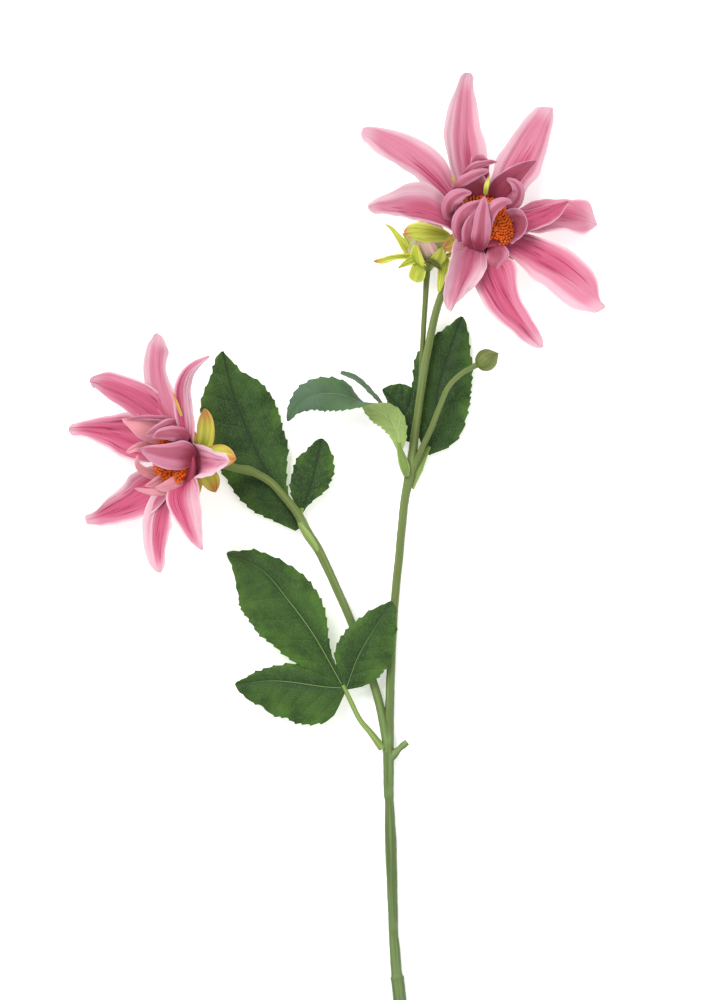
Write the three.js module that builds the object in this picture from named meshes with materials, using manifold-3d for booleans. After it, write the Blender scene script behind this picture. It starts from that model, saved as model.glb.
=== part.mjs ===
// A cut, branched dahlia stem that lies on the plane z = 0 with its blooms facing up.
// Millimetres, +Z up. Places are written in the layout's own x and y, and the last lines move the whole
// layout so that the middle of its outline is at the origin.

import * as THREE from 'three';
import { mergeVertices } from 'three/addons/utils/BufferGeometryUtils.js';
import Module from 'manifold-3d';

const wasm = await Module();
wasm.setup();

// Driving dimensions
const BLADE = 0.7;                       // thickness of petals and leaves
const GAP = 0.3;                         // clearance between pieces that touch
const LAYOUT_SHIFT = [12.5, 21, 0];      // from the layout's origin to the middle of the outline
const RAY_LENGTH_ROWS = 8;
const INNER_LENGTH_ROWS = 5;
const STALK_SIDES = 9;

// Heights and radii along a bloom's axis, from the plane where its ray petals root
const BLOOM = {
  stalkEnd: -11.0,
  calyxBottom: -10.3, calyxTop: -4.6, calyxNeck: 2.6, calyxRim: 7.5,
  rayBottom: -4.3, rayTop: 4.0, rayRing: 10.5, rayRoot: 7.8,
  innerBottom: 4.3, innerTop: 8.4, innerRing: 13.6, innerRoot: 13.2, innerHeight: 6.6,
  discBottom: 8.7, discTop: 15.2, discRadius: 11.6,
};

const ROSE = 0xe58fb0;
const MAUVE = 0xc57a9e;
const ORANGE = 0xe8761a;
const SEPAL_GREEN = 0xb3cc3c;
const LEAF_GREEN = 0x2f5f33;
const STEM_GREEN = 0x7f9650;
const BUD_GREEN = 0x9aa85a;
const CREAM_PINK = 0xdcb9a8;

const vector = (place) => new THREE.Vector3(...place);
const degrees = THREE.MathUtils.degToRad;

// Solids: a closed geometry becomes a manifold, is joined or cut, and comes back as a geometry

function toSolid(geometry) {
  const plain = geometry.index ? geometry.clone() : mergeVertices(geometry.clone());
  plain.deleteAttribute('normal');
  plain.deleteAttribute('uv');
  const merged = mergeVertices(plain, 1e-4);
  const mesh = new wasm.Mesh({
    numProp: 3,
    vertProperties: new Float32Array(merged.attributes.position.array),
    triVerts: new Uint32Array(merged.index.array),
  });
  return new wasm.Manifold(mesh);
}

function toGeometry(solid) {
  const mesh = solid.getMesh();
  const geometry = new THREE.BufferGeometry();
  geometry.setAttribute('position', new THREE.Float32BufferAttribute(mesh.vertProperties, 3));
  geometry.setIndex(new THREE.Uint32BufferAttribute(mesh.triVerts, 1));
  geometry.computeVertexNormals();
  return geometry;
}

const joined = (solids) => solids.reduce((sum, solid) => sum.add(solid));

// A thin blade along a spine: a petal, a leaflet or a sepal

// A value that is given once for both sides of a blade, or as [left, right] seen from above and its root
const onSide = (value, side) => (Array.isArray(value) ? value[side] : value);

// The half-width as a share of the widest, along the blade from its root (0) to its tip (1)
function outline(along, side, { widest = 0.48, rootPower = 0.8, tipPower = 0.85, rootWidth = 0.32 }) {
  if (along < widest) {
    const rise = Math.sin((Math.PI / 2) * (along / widest)) ** onSide(rootPower, side);
    return rootWidth + (1 - rootWidth) * rise;
  }
  return Math.cos((Math.PI / 2) * ((along - widest) / (1 - widest))) ** onSide(tipPower, side);
}

// Frames carried along the spine without turning about it, each then rolled by the blade's twist
function framesAlong(spine, upper, rows, twist, twistSpan) {
  const frames = [];
  let tangent = spine.getTangentAt(0);
  let normal = upper.clone().addScaledVector(tangent, -upper.dot(tangent)).normalize();
  for (let row = 0; row <= rows; row += 1) {
    const along = row / rows;
    const next = spine.getTangentAt(along);
    normal.applyQuaternion(new THREE.Quaternion().setFromUnitVectors(tangent, next));
    tangent = next;
    const roll = degrees(twist) * THREE.MathUtils.smoothstep(along, ...twistSpan);
    const rolled = normal.clone().applyAxisAngle(tangent, roll);
    const side = new THREE.Vector3().crossVectors(tangent, rolled);
    frames.push({ point: spine.getPointAt(along), tangent: tangent.clone(), normal: rolled, side, along });
  }
  return frames;
}

function blade(spine, upper, options) {
  const { halfWidth, rows, columns = 4, fold = 20, twist = 0, twistSpan = [0, 1], teeth = 0 } = options;
  const frames = framesAlong(spine, upper, rows, twist, twistSpan);
  const length = spine.getLength();
  const toothDepth = 0.09;
  const toothLeanShare = 0.3;
  const toothLean = teeth > 0 ? (toothLeanShare * length) / teeth : 0;
  const smallestHalfWidth = 0.7;
  const top = [];
  const bottom = [];
  frames.forEach((frame, row) => {
    const toothed = teeth > 0 && row > 0 && row < rows;
    for (let column = 0; column <= columns; column += 1) {
      const across = (2 * column) / columns - 1;
      const side = across < 0 ? 0 : 1;
      const share = outline(frame.along, side, options);
      const onEdge = Math.abs(across) === 1;
      let half = Math.max(onSide(halfWidth, side) * share, smallestHalfWidth);
      let lean = 0;
      if (toothed && onEdge) {
        half *= row % 2 ? 1 + toothDepth / 2 : 1 - toothDepth / 2;
        lean = row % 2 ? toothLean : 0;
      }
      const bend = Math.max(Math.abs(degrees(onSide(fold, side)) * share), 1e-3);
      const lift = Math.sign(onSide(fold, side)) || 1;
      const turned = bend * Math.abs(across);
      const out = Math.sign(across) * (half / bend) * Math.sin(turned);
      const up = lift * (half / bend) * (1 - Math.cos(turned));
      const middle = frame.point.clone()
        .addScaledVector(frame.side, out)
        .addScaledVector(frame.normal, up)
        .addScaledVector(frame.tangent, lean);
      const face = frame.normal.clone().multiplyScalar(Math.cos(turned))
        .addScaledVector(frame.side, -Math.sign(across) * lift * Math.sin(turned));
      top.push(middle.clone().addScaledVector(face, BLADE / 2));
      bottom.push(middle.clone().addScaledVector(face, -BLADE / 2));
    }
  });
  return shellBetween(top, bottom, rows, columns);
}

// The closed solid between two like grids of points, split into triangles alike on both faces
function shellBetween(top, bottom, rows, columns) {
  const stride = columns + 1;
  const count = top.length;
  const index = [];
  const quad = (a, b, c, d) => index.push(a, b, c, a, c, d);
  for (let row = 0; row < rows; row += 1) {
    for (let column = 0; column < columns; column += 1) {
      const corner = row * stride + column;
      quad(corner, corner + 1, corner + stride + 1, corner + stride);
      index.push(count + corner, count + corner + stride + 1, count + corner + 1);
      index.push(count + corner, count + corner + stride, count + corner + stride + 1);
    }
    const left = row * stride;
    const right = left + columns;
    quad(left, left + stride, count + left + stride, count + left);
    quad(right + stride, right, count + right, count + right + stride);
  }
  for (let column = 0; column < columns; column += 1) {
    const last = rows * stride + column;
    quad(column + 1, column, count + column, count + column + 1);
    quad(last, last + 1, count + last + 1, count + last);
  }
  const points = [...top, ...bottom].flatMap((point) => point.toArray());
  const geometry = new THREE.BufferGeometry();
  geometry.setAttribute('position', new THREE.Float32BufferAttribute(points, 3));
  geometry.setIndex(index);
  return geometry;
}

// A closed, tapering tube through places [x, y, z, radius]
function stalk(places, extra = 0, sides = STALK_SIDES, stepsPerPlace = 1) {
  const curve = new THREE.CatmullRomCurve3(places.map((place) => vector(place.slice(0, 3))));
  const steps = (places.length - 1) * stepsPerPlace;
  const { normals, binormals } = curve.computeFrenetFrames(steps, false);
  const points = [];
  const index = [];
  for (let step = 0; step <= steps; step += 1) {
    const at = step / stepsPerPlace;
    const before = Math.min(Math.floor(at), places.length - 2);
    const radius = THREE.MathUtils.lerp(places[before][3], places[before + 1][3], at - before) + extra;
    const centre = curve.getPoint(step / steps);
    for (let side = 0; side < sides; side += 1) {
      const angle = (2 * Math.PI * side) / sides;
      const rim = centre.clone()
        .addScaledVector(normals[step], radius * Math.cos(angle))
        .addScaledVector(binormals[step], radius * Math.sin(angle));
      points.push(...rim.toArray());
    }
  }
  const startCentre = points.length / 3;
  points.push(...curve.getPoint(0).toArray(), ...curve.getPoint(1).toArray());
  for (let side = 0; side < sides; side += 1) {
    const next = (side + 1) % sides;
    for (let step = 0; step < steps; step += 1) {
      const low = step * sides;
      const high = low + sides;
      index.push(low + side, low + next, high + next, low + side, high + next, high + side);
    }
    const last = steps * sides;
    index.push(startCentre, next, side, startCentre + 1, last + side, last + next);
  }
  const geometry = new THREE.BufferGeometry();
  geometry.setAttribute('position', new THREE.Float32BufferAttribute(points, 3));
  geometry.setIndex(index);
  return geometry;
}

// A turned solid about +Z from its profile of [radius, height], listed from the bottom up
function turned(profile, sides) {
  const points = profile.map(([radius, height]) => new THREE.Vector2(radius, height));
  return new THREE.LatheGeometry(points, sides).rotateX(Math.PI / 2);
}

// The axis of each bloom: its centre, and how far and which way it leans from straight up
class Stand {
  constructor(centre, lean, towards) {
    const leanAxis = new THREE.Vector3(-Math.sin(degrees(towards)), Math.cos(degrees(towards)), 0);
    this.matrix = new THREE.Matrix4().makeRotationAxis(leanAxis, degrees(lean));
    this.axis = new THREE.Vector3(0, 0, 1).transformDirection(this.matrix);
    this.matrix.setPosition(...centre);
  }

  place(turn, radius, height) {
    const angle = degrees(turn);
    const local = new THREE.Vector3(radius * Math.cos(angle), radius * Math.sin(angle), height);
    return local.applyMatrix4(this.matrix);
  }

  outward(turn, rise) {
    const level = Math.cos(degrees(rise));
    const angle = degrees(turn);
    const up = Math.sin(degrees(rise));
    const local = new THREE.Vector3(level * Math.cos(angle), level * Math.sin(angle), up);
    return local.transformDirection(this.matrix);
  }

  along(height) {
    return this.place(0, 0, height).toArray();
  }
}

// A petal leaves its root at a turn about the axis and a rise over the bloom's plane, bows to its right
// and ends at its tip
function petal(stand, rootRadius, rootHeight, { turn, rise, tip, reach = 0.5, bow = 0, ...shape }) {
  const root = stand.place(turn, rootRadius, rootHeight);
  const start = stand.outward(turn, rise);
  const upper = stand.outward(turn, rise + 90);
  const right = new THREE.Vector3().crossVectors(start, upper);
  const bendAt = root.clone()
    .addScaledVector(start, root.distanceTo(tip) * reach)
    .addScaledVector(right, 2 * bow);
  const spine = new THREE.QuadraticBezierCurve3(root, bendAt, tip);
  return blade(spine, upper, shape);
}

const UPPER = new Stand([60, 135.5, 28], 32, 50);
const LEFT = new Stand([-86, 19, 31], 47, 188);

// Ray petals: the tip is a place over the table, and fold is how far each edge turns up, in degrees
const UPPER_RAYS = [
  { turn: 98, rise: 14, tip: [53.5, 213.5, 34], halfWidth: 11, fold: [35, 30], bow: -4, widest: 0.42 },
  { turn: 60, rise: 14, tip: [97, 198, 0.1], halfWidth: [13, 10.5], fold: [35, 30], bow: 1, widest: 0.6 },
  { turn: 12, rise: 22, tip: [119.5, 139, 0.1], halfWidth: [10.5, 12], fold: [20, 45], bow: -3, widest: 0.66,
    tipPower: 0.45 },
  { turn: 318, rise: 16, tip: [121, 95, 58], halfWidth: [12.5, 14], fold: [35, 50], bow: -4, widest: 0.58 },
  { turn: 280, rise: 14, tip: [90, 75.5, 70], halfWidth: 10.5, fold: 35, bow: 4 },
  { turn: 243, rise: 20, tip: [44.5, 92.5, 90], halfWidth: [12, 12], fold: [35, 85], widest: 0.45 },
  { turn: 187, rise: 16, tip: [4, 144, 78], halfWidth: [13, 12], fold: [80, 35], bow: 3, widest: 0.5 },
  { turn: 147, rise: 12, tip: [1, 184, 48], halfWidth: 12, fold: 30, bow: 4 },
];

const LEFT_RAYS = [
  { turn: 97, rise: 16, tip: [-101, 82.5, 49], halfWidth: 10, fold: 45, bow: -1 },
  { turn: 60, rise: 14, tip: [-74.5, 71, 75], halfWidth: [10, 11], fold: [35, 75], bow: -4 },
  { turn: 130, rise: 16, tip: [-135.5, 60, 20], halfWidth: 11, fold: 30, bow: 3, widest: 0.55 },
  { turn: 166, rise: 18, tip: [-147, 36, 0.1], halfWidth: 11, fold: 30, bow: 1 },
  { turn: 205, rise: 18, tip: [-138.5, -10, 0.1], halfWidth: 9.5, fold: 35, bow: 3 },
  { turn: 255, rise: 16, tip: [-99.5, -36, 39], halfWidth: 10.5, fold: 40, bow: 5 },
  { turn: 308, rise: 20, tip: [-78, -24, 75], halfWidth: 11, fold: [60, 30], bow: 1 },
  { turn: 4, rise: 22, tip: [-64, 19, 95], halfWidth: 10.5, fold: 45 },
];

// Inner petals: the tip is [turn, radius, height] about the bloom's own axis
const UPPER_INNER = [
  { turn: 257, rise: 62, tip: [163, 8, 26.5], halfWidth: 5.2, fold: 40 },
  { turn: 236, rise: 66, tip: [198, 9, 20], halfWidth: 5.5, fold: 50, rows: 4, columns: 2 },
  { turn: 219, rise: 70, tip: [149, 6, 23], halfWidth: 8, fold: 60, rows: 4 },
  { turn: 236, rise: 88, tip: [8, 6, 28.5], halfWidth: 5.5, fold: 45, bow: 3, reach: 0.65, widest: 0.66 },
  { turn: 172, rise: 52, tip: [160, 20.5, 20], halfWidth: 7, fold: 60, widest: 0.66 },
  { turn: 140, rise: 54, tip: [118, 19, 26], halfWidth: 7, fold: 60, widest: 0.66 },
  { turn: 112, rise: 50, tip: [112, 24, 31], halfWidth: 6, fold: 60, widest: 0.66 },
  { turn: 74, rise: 48, tip: [52, 34, 28], halfWidth: 8, fold: 40 },
  { turn: 42, rise: 60, tip: [54, 22, 25], halfWidth: 5, fold: 45 },
  { turn: 352, rise: 52, tip: [350, 18, 20], halfWidth: 10, fold: 60, widest: 0.7 },
  { turn: 292, rise: 40, tip: [262, 31, 16], halfWidth: 6.5, fold: 50 },
];

const LEFT_INNER = [
  { turn: 10, rise: 75, tip: [60, 10, 34], halfWidth: 7.5, fold: 40 },
  { turn: 56, rise: 65, tip: [76, 16, 33], halfWidth: 6, fold: 45 },
  { turn: 86, rise: 60, tip: [78, 23, 34], halfWidth: 3.5, fold: 40 },
  { turn: 114, rise: 50, tip: [116, 34, 26], halfWidth: 6, fold: 50 },
  { turn: 146, rise: 50, tip: [140, 32, 20], halfWidth: 5.5, fold: 50 },
  { turn: 178, rise: 50, tip: [168, 25, 18], halfWidth: 5.5, fold: 55 },
  { turn: 208, rise: 55, tip: [198, 20, 19], halfWidth: 5, fold: 60 },
  { turn: 240, rise: 50, tip: [220, 22, 20], halfWidth: 5, fold: 50 },
  { turn: 277, rise: 45, tip: [240, 26, 23], halfWidth: 5.5, fold: 50 },
  { turn: 322, rise: 45, tip: [318, 25, 14], halfWidth: 5.5, fold: 45 },
];

// Sepals: the tip is [turn, radius, height] about the bloom's own axis
const UPPER_SEPALS = [
  { turn: 84, tip: [82, 26, 0] },
  { turn: 128, tip: [126, 28, -1] },
  { turn: 205, tip: [205, 18, -10] },
  { turn: 262, tip: [262, 24, -3] },
  { turn: 330, tip: [332, 24, -3] },
  { turn: 30, tip: [32, 23, -6] },
];

const LEFT_SEPALS = [
  { turn: 60, tip: [68, 29, -2] },
  { turn: 14, tip: [4, 28, -7] },
  { turn: 312, tip: [311, 21, -6] },
  { turn: 250, tip: [250, 23, -3] },
  { turn: 190, tip: [190, 23, -2] },
  { turn: 120, tip: [120, 24, -2] },
];

function rayPetals(stand, petals) {
  const { rayBottom, rayTop, rayRing, rayRoot } = BLOOM;
  const core = turned([[0, rayBottom], [rayRing - 3, rayBottom], [rayRing, 0], [rayRing - 1, 2.6],
    [rayRing - 4, rayTop], [0, rayTop]], 12).applyMatrix4(stand.matrix);
  const blades = petals.map((each) => petal(stand, rayRoot, 0, {
    rows: RAY_LENGTH_ROWS, widest: 0.5, tipPower: 0.52, rootWidth: 0.3, ...each, tip: vector(each.tip),
  }));
  return joined([core, ...blades].map(toSolid));
}

function innerPetals(stand, petals) {
  const { innerBottom, innerTop, innerRing, innerRoot, innerHeight } = BLOOM;
  const core = turned([[0, innerBottom], [innerRing - 4, innerBottom], [innerRing, innerHeight],
    [innerRing, innerTop], [0, innerTop]], 14).applyMatrix4(stand.matrix);
  const blades = petals.map((each) => petal(stand, innerRoot, innerHeight, {
    rows: INNER_LENGTH_ROWS, widest: 0.55, tipPower: 0.6, rootWidth: 0.5, ...each,
    tip: stand.place(...each.tip),
  }));
  return joined([core, ...blades].map(toSolid));
}

// The disc: a low dome covered by short florets, set out by the golden angle
function disc(stand) {
  const { discBottom, discTop, discRadius } = BLOOM;
  const florets = 22;
  const floret = { tipRadius: 0.8, rootRadius: 1.2, length: 3.4, sides: 4, mostLean: 0.95, sunk: 1.4 };
  const edge = discRadius - 1.6;
  const domeSunk = 1.5;
  const goldenAngle = Math.PI * (3 - Math.sqrt(5));
  const rise = discTop - discBottom;
  const domeHeight = (radius) => discBottom + rise * Math.sqrt(Math.max(1 - (radius / discRadius) ** 2, 0));
  const profile = [[0, discBottom], [edge, discBottom]];
  for (const share of [1, 0.92, 0.75, 0.5, 0.25]) {
    profile.push([edge * share, domeHeight(edge * share) - domeSunk]);
  }
  profile.push([0, discTop - domeSunk]);
  const solids = [toSolid(turned(profile, 12).applyMatrix4(stand.matrix))];
  for (let place = 0; place < florets; place += 1) {
    const radius = edge * Math.sqrt((place + 0.5) / florets);
    const angle = place * goldenAngle;
    const leanAxis = new THREE.Vector3(-Math.sin(angle), Math.cos(angle), 0);
    const lean = floret.mostLean * (radius / discRadius);
    const stud = new THREE.CylinderGeometry(floret.tipRadius, floret.rootRadius, floret.length, floret.sides)
      .rotateX(Math.PI / 2)
      .applyMatrix4(new THREE.Matrix4().makeRotationAxis(leanAxis, lean))
      .translate(radius * Math.cos(angle), radius * Math.sin(angle), domeHeight(radius) - floret.sunk)
      .applyMatrix4(stand.matrix);
    solids.push(toSolid(stud));
  }
  return joined(solids);
}

function sepals(stand, list) {
  const { calyxBottom, calyxTop, calyxNeck, calyxRim } = BLOOM;
  const cup = turned([[0, calyxBottom], [calyxNeck, calyxBottom], [calyxNeck + 2.4, calyxBottom + 1.6],
    [calyxRim, calyxTop - 1.2], [calyxRim - 0.6, calyxTop], [0, calyxTop]], 10)
    .applyMatrix4(stand.matrix);
  const blades = list.map(({ turn, tip }) => petal(stand, calyxNeck, calyxTop - 2.4, {
    turn, rise: -6, tip: stand.place(...tip), halfWidth: 5.5, fold: 40, rows: 5, columns: 2,
    widest: 0.55, tipPower: 0.7, rootWidth: 0.5,
  }));
  return joined([cup, ...blades].map(toSolid));
}

// The stem and all its stalks as places [x, y, z, radius], from the cut end up
const MAIN_STALK = [
  [20.5, -256, 3.4, 3.35], [18.9, -243, 3.4, 3.3], [18.7, -241, 3.3, 3.6], [18.5, -239.6, 3.1, 2.8],
  [17.4, -226, 2.9, 2.65], [16.9, -219, 2.9, 2.35], [16.3, -200, 3.0, 2.6], [15.4, -172.5, 3.3, 3.0],
  [14.7, -152, 3.6, 2.15], [14.5, -149, 3.6, 2.5], [14.3, -130, 4.2, 2.75], [15, -100, 5, 2.25],
  [16, -75, 5.6, 2.15], [17.5, -50, 6.2, 2.1], [19.5, -30, 6.9, 2.1], [22.5, 0, 7.8, 2.1],
  [25.2, 15, 8.5, 2.5], [28.5, 40, 9.3, 2.0], [33, 70, 9.8, 2.0], [36, 85, 10.2, 1.95],
  [39, 97.5, 10.8, 1.9], [44, 110, 11.6, 1.9], [50, 121.5, 12.8, 1.9], [54.3, 128.3, 15.2, 2.0],
  [...UPPER.along(BLOOM.stalkEnd), 2.2],
];

const LEFT_BRANCH = [
  [14.2, -131, 4.4, 2.2], [12.4, -116, 5.0, 2.3], [9, -100, 5.8, 2.2], [6, -90, 6.3, 2.15],
  [1, -75, 7.2, 2.1], [-5, -60, 8.2, 2.1], [-15, -37.5, 10, 2.15], [-21, -25, 11.2, 2.3],
  [-26, -17.5, 12, 2.3], [-31, -7.5, 12.8, 2.2], [-37.5, 1, 13.5, 2.0], [-45, 9, 14.3, 1.95],
  [-52.5, 13.5, 15, 1.95], [-60, 15.5, 16, 2.1], [-68, 17.5, 17.6, 1.9], [-74.6, 19, 20.2, 2.0],
  [...LEFT.along(BLOOM.stalkEnd), 2.2],
];

const HALF_OPEN_STALK = [
  [29, 38, 9, 1.4], [30.6, 60, 7.8, 1.35], [31.6, 80, 7.8, 1.3], [32.8, 100, 8.6, 1.35],
  [33.4, 110, 9.8, 1.5], [33.6, 116.2, 11.1, 1.8],
];

const GREEN_BUD_STALK = [
  [26.5, 16, 8.8, 1.5], [32, 28, 10.5, 1.5], [36.2, 37, 12, 1.45], [40, 47, 13.5, 1.4],
  [44.5, 57, 14.8, 1.35], [51.5, 64, 15.8, 1.3], [58, 67.2, 16.3, 1.35],
];

const CUT_STUB = [[15, -124.6, 4.8, 1.8], [20, -123.2, 5.0, 1.9], [23.6, -122, 5.2, 2.1]];

const ALL_STALKS = [MAIN_STALK, LEFT_BRANCH, HALF_OPEN_STALK, GREEN_BUD_STALK, CUT_STUB];

const stems = (extra) => joined(ALL_STALKS.map((places) => toSolid(stalk(places, extra))));

// Leaves: leaflets on a forked petiole. A leaflet's rib is a list of places, and its teeth are counted
// along one side.
const UP = new THREE.Vector3(0, 0, 1);

function leaflet({ rib, teeth, upper = UP, ...shape }) {
  const spine = new THREE.CatmullRomCurve3(rib.map(vector));
  return blade(spine, upper, {
    teeth, rows: 2 * teeth, rootWidth: 0.05, rootPower: 1.2, tipPower: 1.1, widest: 0.45, fold: -14, ...shape,
  });
}

function leaf(petioles, leaflets) {
  const stalks = petioles.map((places) => toSolid(stalk(places, 0, 7)));
  const blades = leaflets.map((each) => toSolid(leaflet(each)));
  return joined([...stalks, ...blades]).subtract(stems(GAP));
}

const lowerLeaf = () => leaf(
  [[[11.2, -125, 5.2, 2.0], [5, -116.7, 8, 1.5], [0, -110.5, 10, 1.3], [-5, -100.5, 12, 1.2],
    [-8.5, -93, 13, 1.1]]],
  [
    { rib: [[-8.5, -94, 13], [-23.5, -67.5, 15.5], [-35.5, -51, 16.5], [-49, -35.5, 15],
      [-67, -26.5, 10]], halfWidth: [22, 14.5], teeth: 11, rootPower: [0.8, 1.8], tipPower: [0.6, 0.9],
      widest: 0.48 },
    { rib: [[-7, -95, 13], [-1, -79, 14.5], [7, -65, 15], [16, -51, 13.8]], halfWidth: [12, 15],
      teeth: 7, rootPower: [1, 0.5], tipPower: [0.9, 0.75], widest: 0.42 },
    { rib: [[-7.5, -94.5, 13], [-17, -94, 13.5], [-35, -91.5, 13], [-46, -91, 11.5],
      [-63, -93, 7.5]], halfWidth: [20, 10.5], teeth: 8, rootPower: [0.55, 1], tipPower: 0.75,
      widest: 0.34 },
  ],
);

const branchLeaf = () => leaf(
  [[[-20.5, -27, 8.4, 1.5], [-26, -19, 8.2, 1.5], [-30.4, -11.5, 7.6, 1.1], [-29, -4, 7.2, 0.9]]],
  [
    { rib: [[-30, -14, 7.8], [-45.5, 11, 7.5], [-54.5, 29, 6.5], [-59.5, 41.8, 5.8],
      [-65.5, 59, 5.8], [-69.2, 75, 7]], halfWidth: [19, 19], teeth: 12, rootPower: [0.5, 1.5],
      tipPower: [0.8, 0.9], widest: 0.55 },
    { rib: [[-29.5, -6, 7.2], [-24, 10, 7.2], [-19, 31, 6.2]], halfWidth: [10.5, 10.5], teeth: 6,
      rootPower: [0.4, 1.2], tipPower: [0.8, 0.7], widest: 0.5 },
  ],
);

// The drooping leaflet shows its underside near the petiole and turns over half way
const upperLeftLeaf = () => leaf(
  [[[23.2, 11, 11.6, 1.9], [22, 16, 12.6, 2.2], [20.5, 22, 14, 1.6], [19.8, 27, 15.4, 1.2]]],
  [
    { rib: [[20, 25, 15], [19, 34, 18], [14, 42, 22], [3, 48.5, 25], [-10, 53, 26], [-24, 52.5, 23],
      [-32, 47, 18], [-36.5, 39.5, 13]], halfWidth: [12, 11], teeth: 9,
      upper: new THREE.Vector3(0.35, 0.25, -0.9), twist: -150, twistSpan: [0.2, 0.75], widest: 0.4,
      rootPower: 0.7, rootWidth: 0.15 },
    { rib: [[16.5, 38, 20], [11, 49, 22], [3.5, 57, 23.5], [-3, 62, 24.5], [-9.5, 64.5, 25]],
      halfWidth: 5, teeth: 5, upper: new THREE.Vector3(0.7, 0.62, 0.3) },
  ],
);

const upperRightLeaf = () => leaf(
  [[[26.5, 6, 5.2, 1.5], [29, 14, 4.6, 1.6], [33, 22, 4.4, 1.3], [35, 27, 4.2, 1.0]],
    [[29, 14, 4.6, 1.3], [27.8, 24, 4.4, 1.0], [26, 33, 4.2, 0.9]]],
  [
    { rib: [[33.6, 23, 4.4], [37.5, 38, 4.2], [39.5, 56, 4.2], [44.5, 73, 4.4], [51.5, 92.5, 4.8]],
      halfWidth: [15.5, 17.5], teeth: 9, widest: 0.46, rootPower: [0.8, 0.55], tipPower: [0.8, 1],
      fold: -8 },
    { rib: [[27, 29, 4.3], [22, 44, 4.2], [11.5, 56, 4]], halfWidth: [8, 11], teeth: 5, fold: -8 },
  ],
);

// Buds

const HALF_OPEN_BUD = new Stand([33.9, 129.6, 15], 72, 88);

// Turned round its axis, then raised in lobes: each petal overlaps the next by a step of the surface
function lobed(profile, sides, lobes, step, swirl) {
  const body = turned(profile, sides);
  const position = body.attributes.position;
  for (let place = 0; place < position.count; place += 1) {
    const angle = Math.atan2(position.getY(place), position.getX(place)) + swirl * position.getZ(place);
    const phase = (angle * lobes) / (2 * Math.PI);
    const swell = 1 + step * (phase - Math.floor(phase + 1e-6) - 0.5);
    position.setX(place, position.getX(place) * swell);
    position.setY(place, position.getY(place) * swell);
  }
  return body;
}

function halfOpenBudPetals() {
  const profile = [[0, -10.5], [5, -10.1], [8, -7.5], [9.8, -3.5], [10.2, 0], [9.6, 3.5], [8, 7],
    [5, 10.2], [2.4, 12], [0, 12.4]];
  return toSolid(lobed(profile, 24, 6, 0.13, 0.05).applyMatrix4(HALF_OPEN_BUD.matrix));
}

function halfOpenBudSepals() {
  const stand = HALF_OPEN_BUD;
  const cup = turned([[0, -13.2], [2, -13.2], [5, -11.9], [5.6, -10.9], [0, -10.9]], 12)
    .applyMatrix4(stand.matrix);
  const bracts = [
    { turn: 300, rise: 10, tip: [252, 13.5, 5], halfWidth: 7.5, reach: 0.75 },
    { turn: 168, rise: 10, tip: [176, 21, 8], halfWidth: 2.5 },
    { turn: 192, rise: 0, tip: [196, 26, -10], halfWidth: 2.5 },
    { turn: 222, rise: 0, tip: [216, 18, -15], halfWidth: 2.5 },
    { turn: 252, rise: 0, tip: [240, 11, -21], halfWidth: 4 },
    { turn: 330, rise: 0, tip: [325, 9, -20], halfWidth: 3 },
    { turn: 20, rise: 10, tip: [10, 15, -4], halfWidth: 3 },
    { turn: 90, rise: 10, tip: [90, 12, -6], halfWidth: 4 },
  ].map((each) => petal(stand, 3, -12, {
    fold: 40, rows: 4, columns: 2, widest: 0.5, tipPower: 0.7, rootWidth: 0.4, ...each,
    tip: stand.place(...each.tip),
  }));
  return joined([cup, ...bracts].map(toSolid));
}

function greenBud() {
  const stand = new Stand([63.4, 70.2, 16.8], 88, 30);
  const profile = [[0, -5.3], [1.6, -5.3], [3.9, -4], [5.4, -1], [5.3, 1.5], [4.1, 3.8], [2, 5.4], [0, 6.6]];
  return toSolid(lobed(profile, 20, 5, 0.06, 0.03).applyMatrix4(stand.matrix));
}

// What dips under the plane z = 0 is planed off, which leaves the small flats that the spray rests on
function restingOnPlane(solid) {
  const width = 800;
  const depth = 40;
  const below = new THREE.BoxGeometry(width, width, depth).translate(0, 0, -depth / 2);
  return solid.subtract(toSolid(below));
}

const dahlia = new THREE.Group();

function addPiece(name, solid, color, roughness) {
  const material = new THREE.MeshStandardMaterial({ color, roughness, metalness: 0 });
  const mesh = new THREE.Mesh(toGeometry(solid), material);
  mesh.name = name;
  mesh.position.set(...LAYOUT_SHIFT);
  dahlia.add(mesh);
}

addPiece('main_stem', restingOnPlane(stems(0)), STEM_GREEN, 0.6);
addPiece('upper_bloom_ray_petals', restingOnPlane(rayPetals(UPPER, UPPER_RAYS)), ROSE, 0.75);
addPiece('upper_bloom_inner_petals', innerPetals(UPPER, UPPER_INNER), MAUVE, 0.75);
addPiece('upper_bloom_disc', disc(UPPER), ORANGE, 0.8);
addPiece('upper_bloom_sepals', sepals(UPPER, UPPER_SEPALS), SEPAL_GREEN, 0.65);
addPiece('left_bloom_ray_petals', restingOnPlane(rayPetals(LEFT, LEFT_RAYS)), ROSE, 0.75);
addPiece('left_bloom_inner_petals', innerPetals(LEFT, LEFT_INNER), MAUVE, 0.75);
addPiece('left_bloom_disc', disc(LEFT), ORANGE, 0.8);
addPiece('left_bloom_sepals', sepals(LEFT, LEFT_SEPALS), SEPAL_GREEN, 0.65);
addPiece('half_open_bud_petals', halfOpenBudPetals(), CREAM_PINK, 0.75);
addPiece('half_open_bud_sepals', halfOpenBudSepals(), SEPAL_GREEN, 0.65);
addPiece('green_bud', greenBud(), BUD_GREEN, 0.65);
addPiece('lower_leaf', lowerLeaf(), LEAF_GREEN, 0.7);
addPiece('branch_leaf', branchLeaf(), LEAF_GREEN, 0.7);
addPiece('upper_left_leaf', upperLeftLeaf(), LEAF_GREEN, 0.7);
addPiece('upper_right_leaf', upperRightLeaf(), LEAF_GREEN, 0.7);

export default dahlia;
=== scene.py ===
"""A cut, branched dahlia spray that lies on a table with its blooms facing up."""

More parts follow.
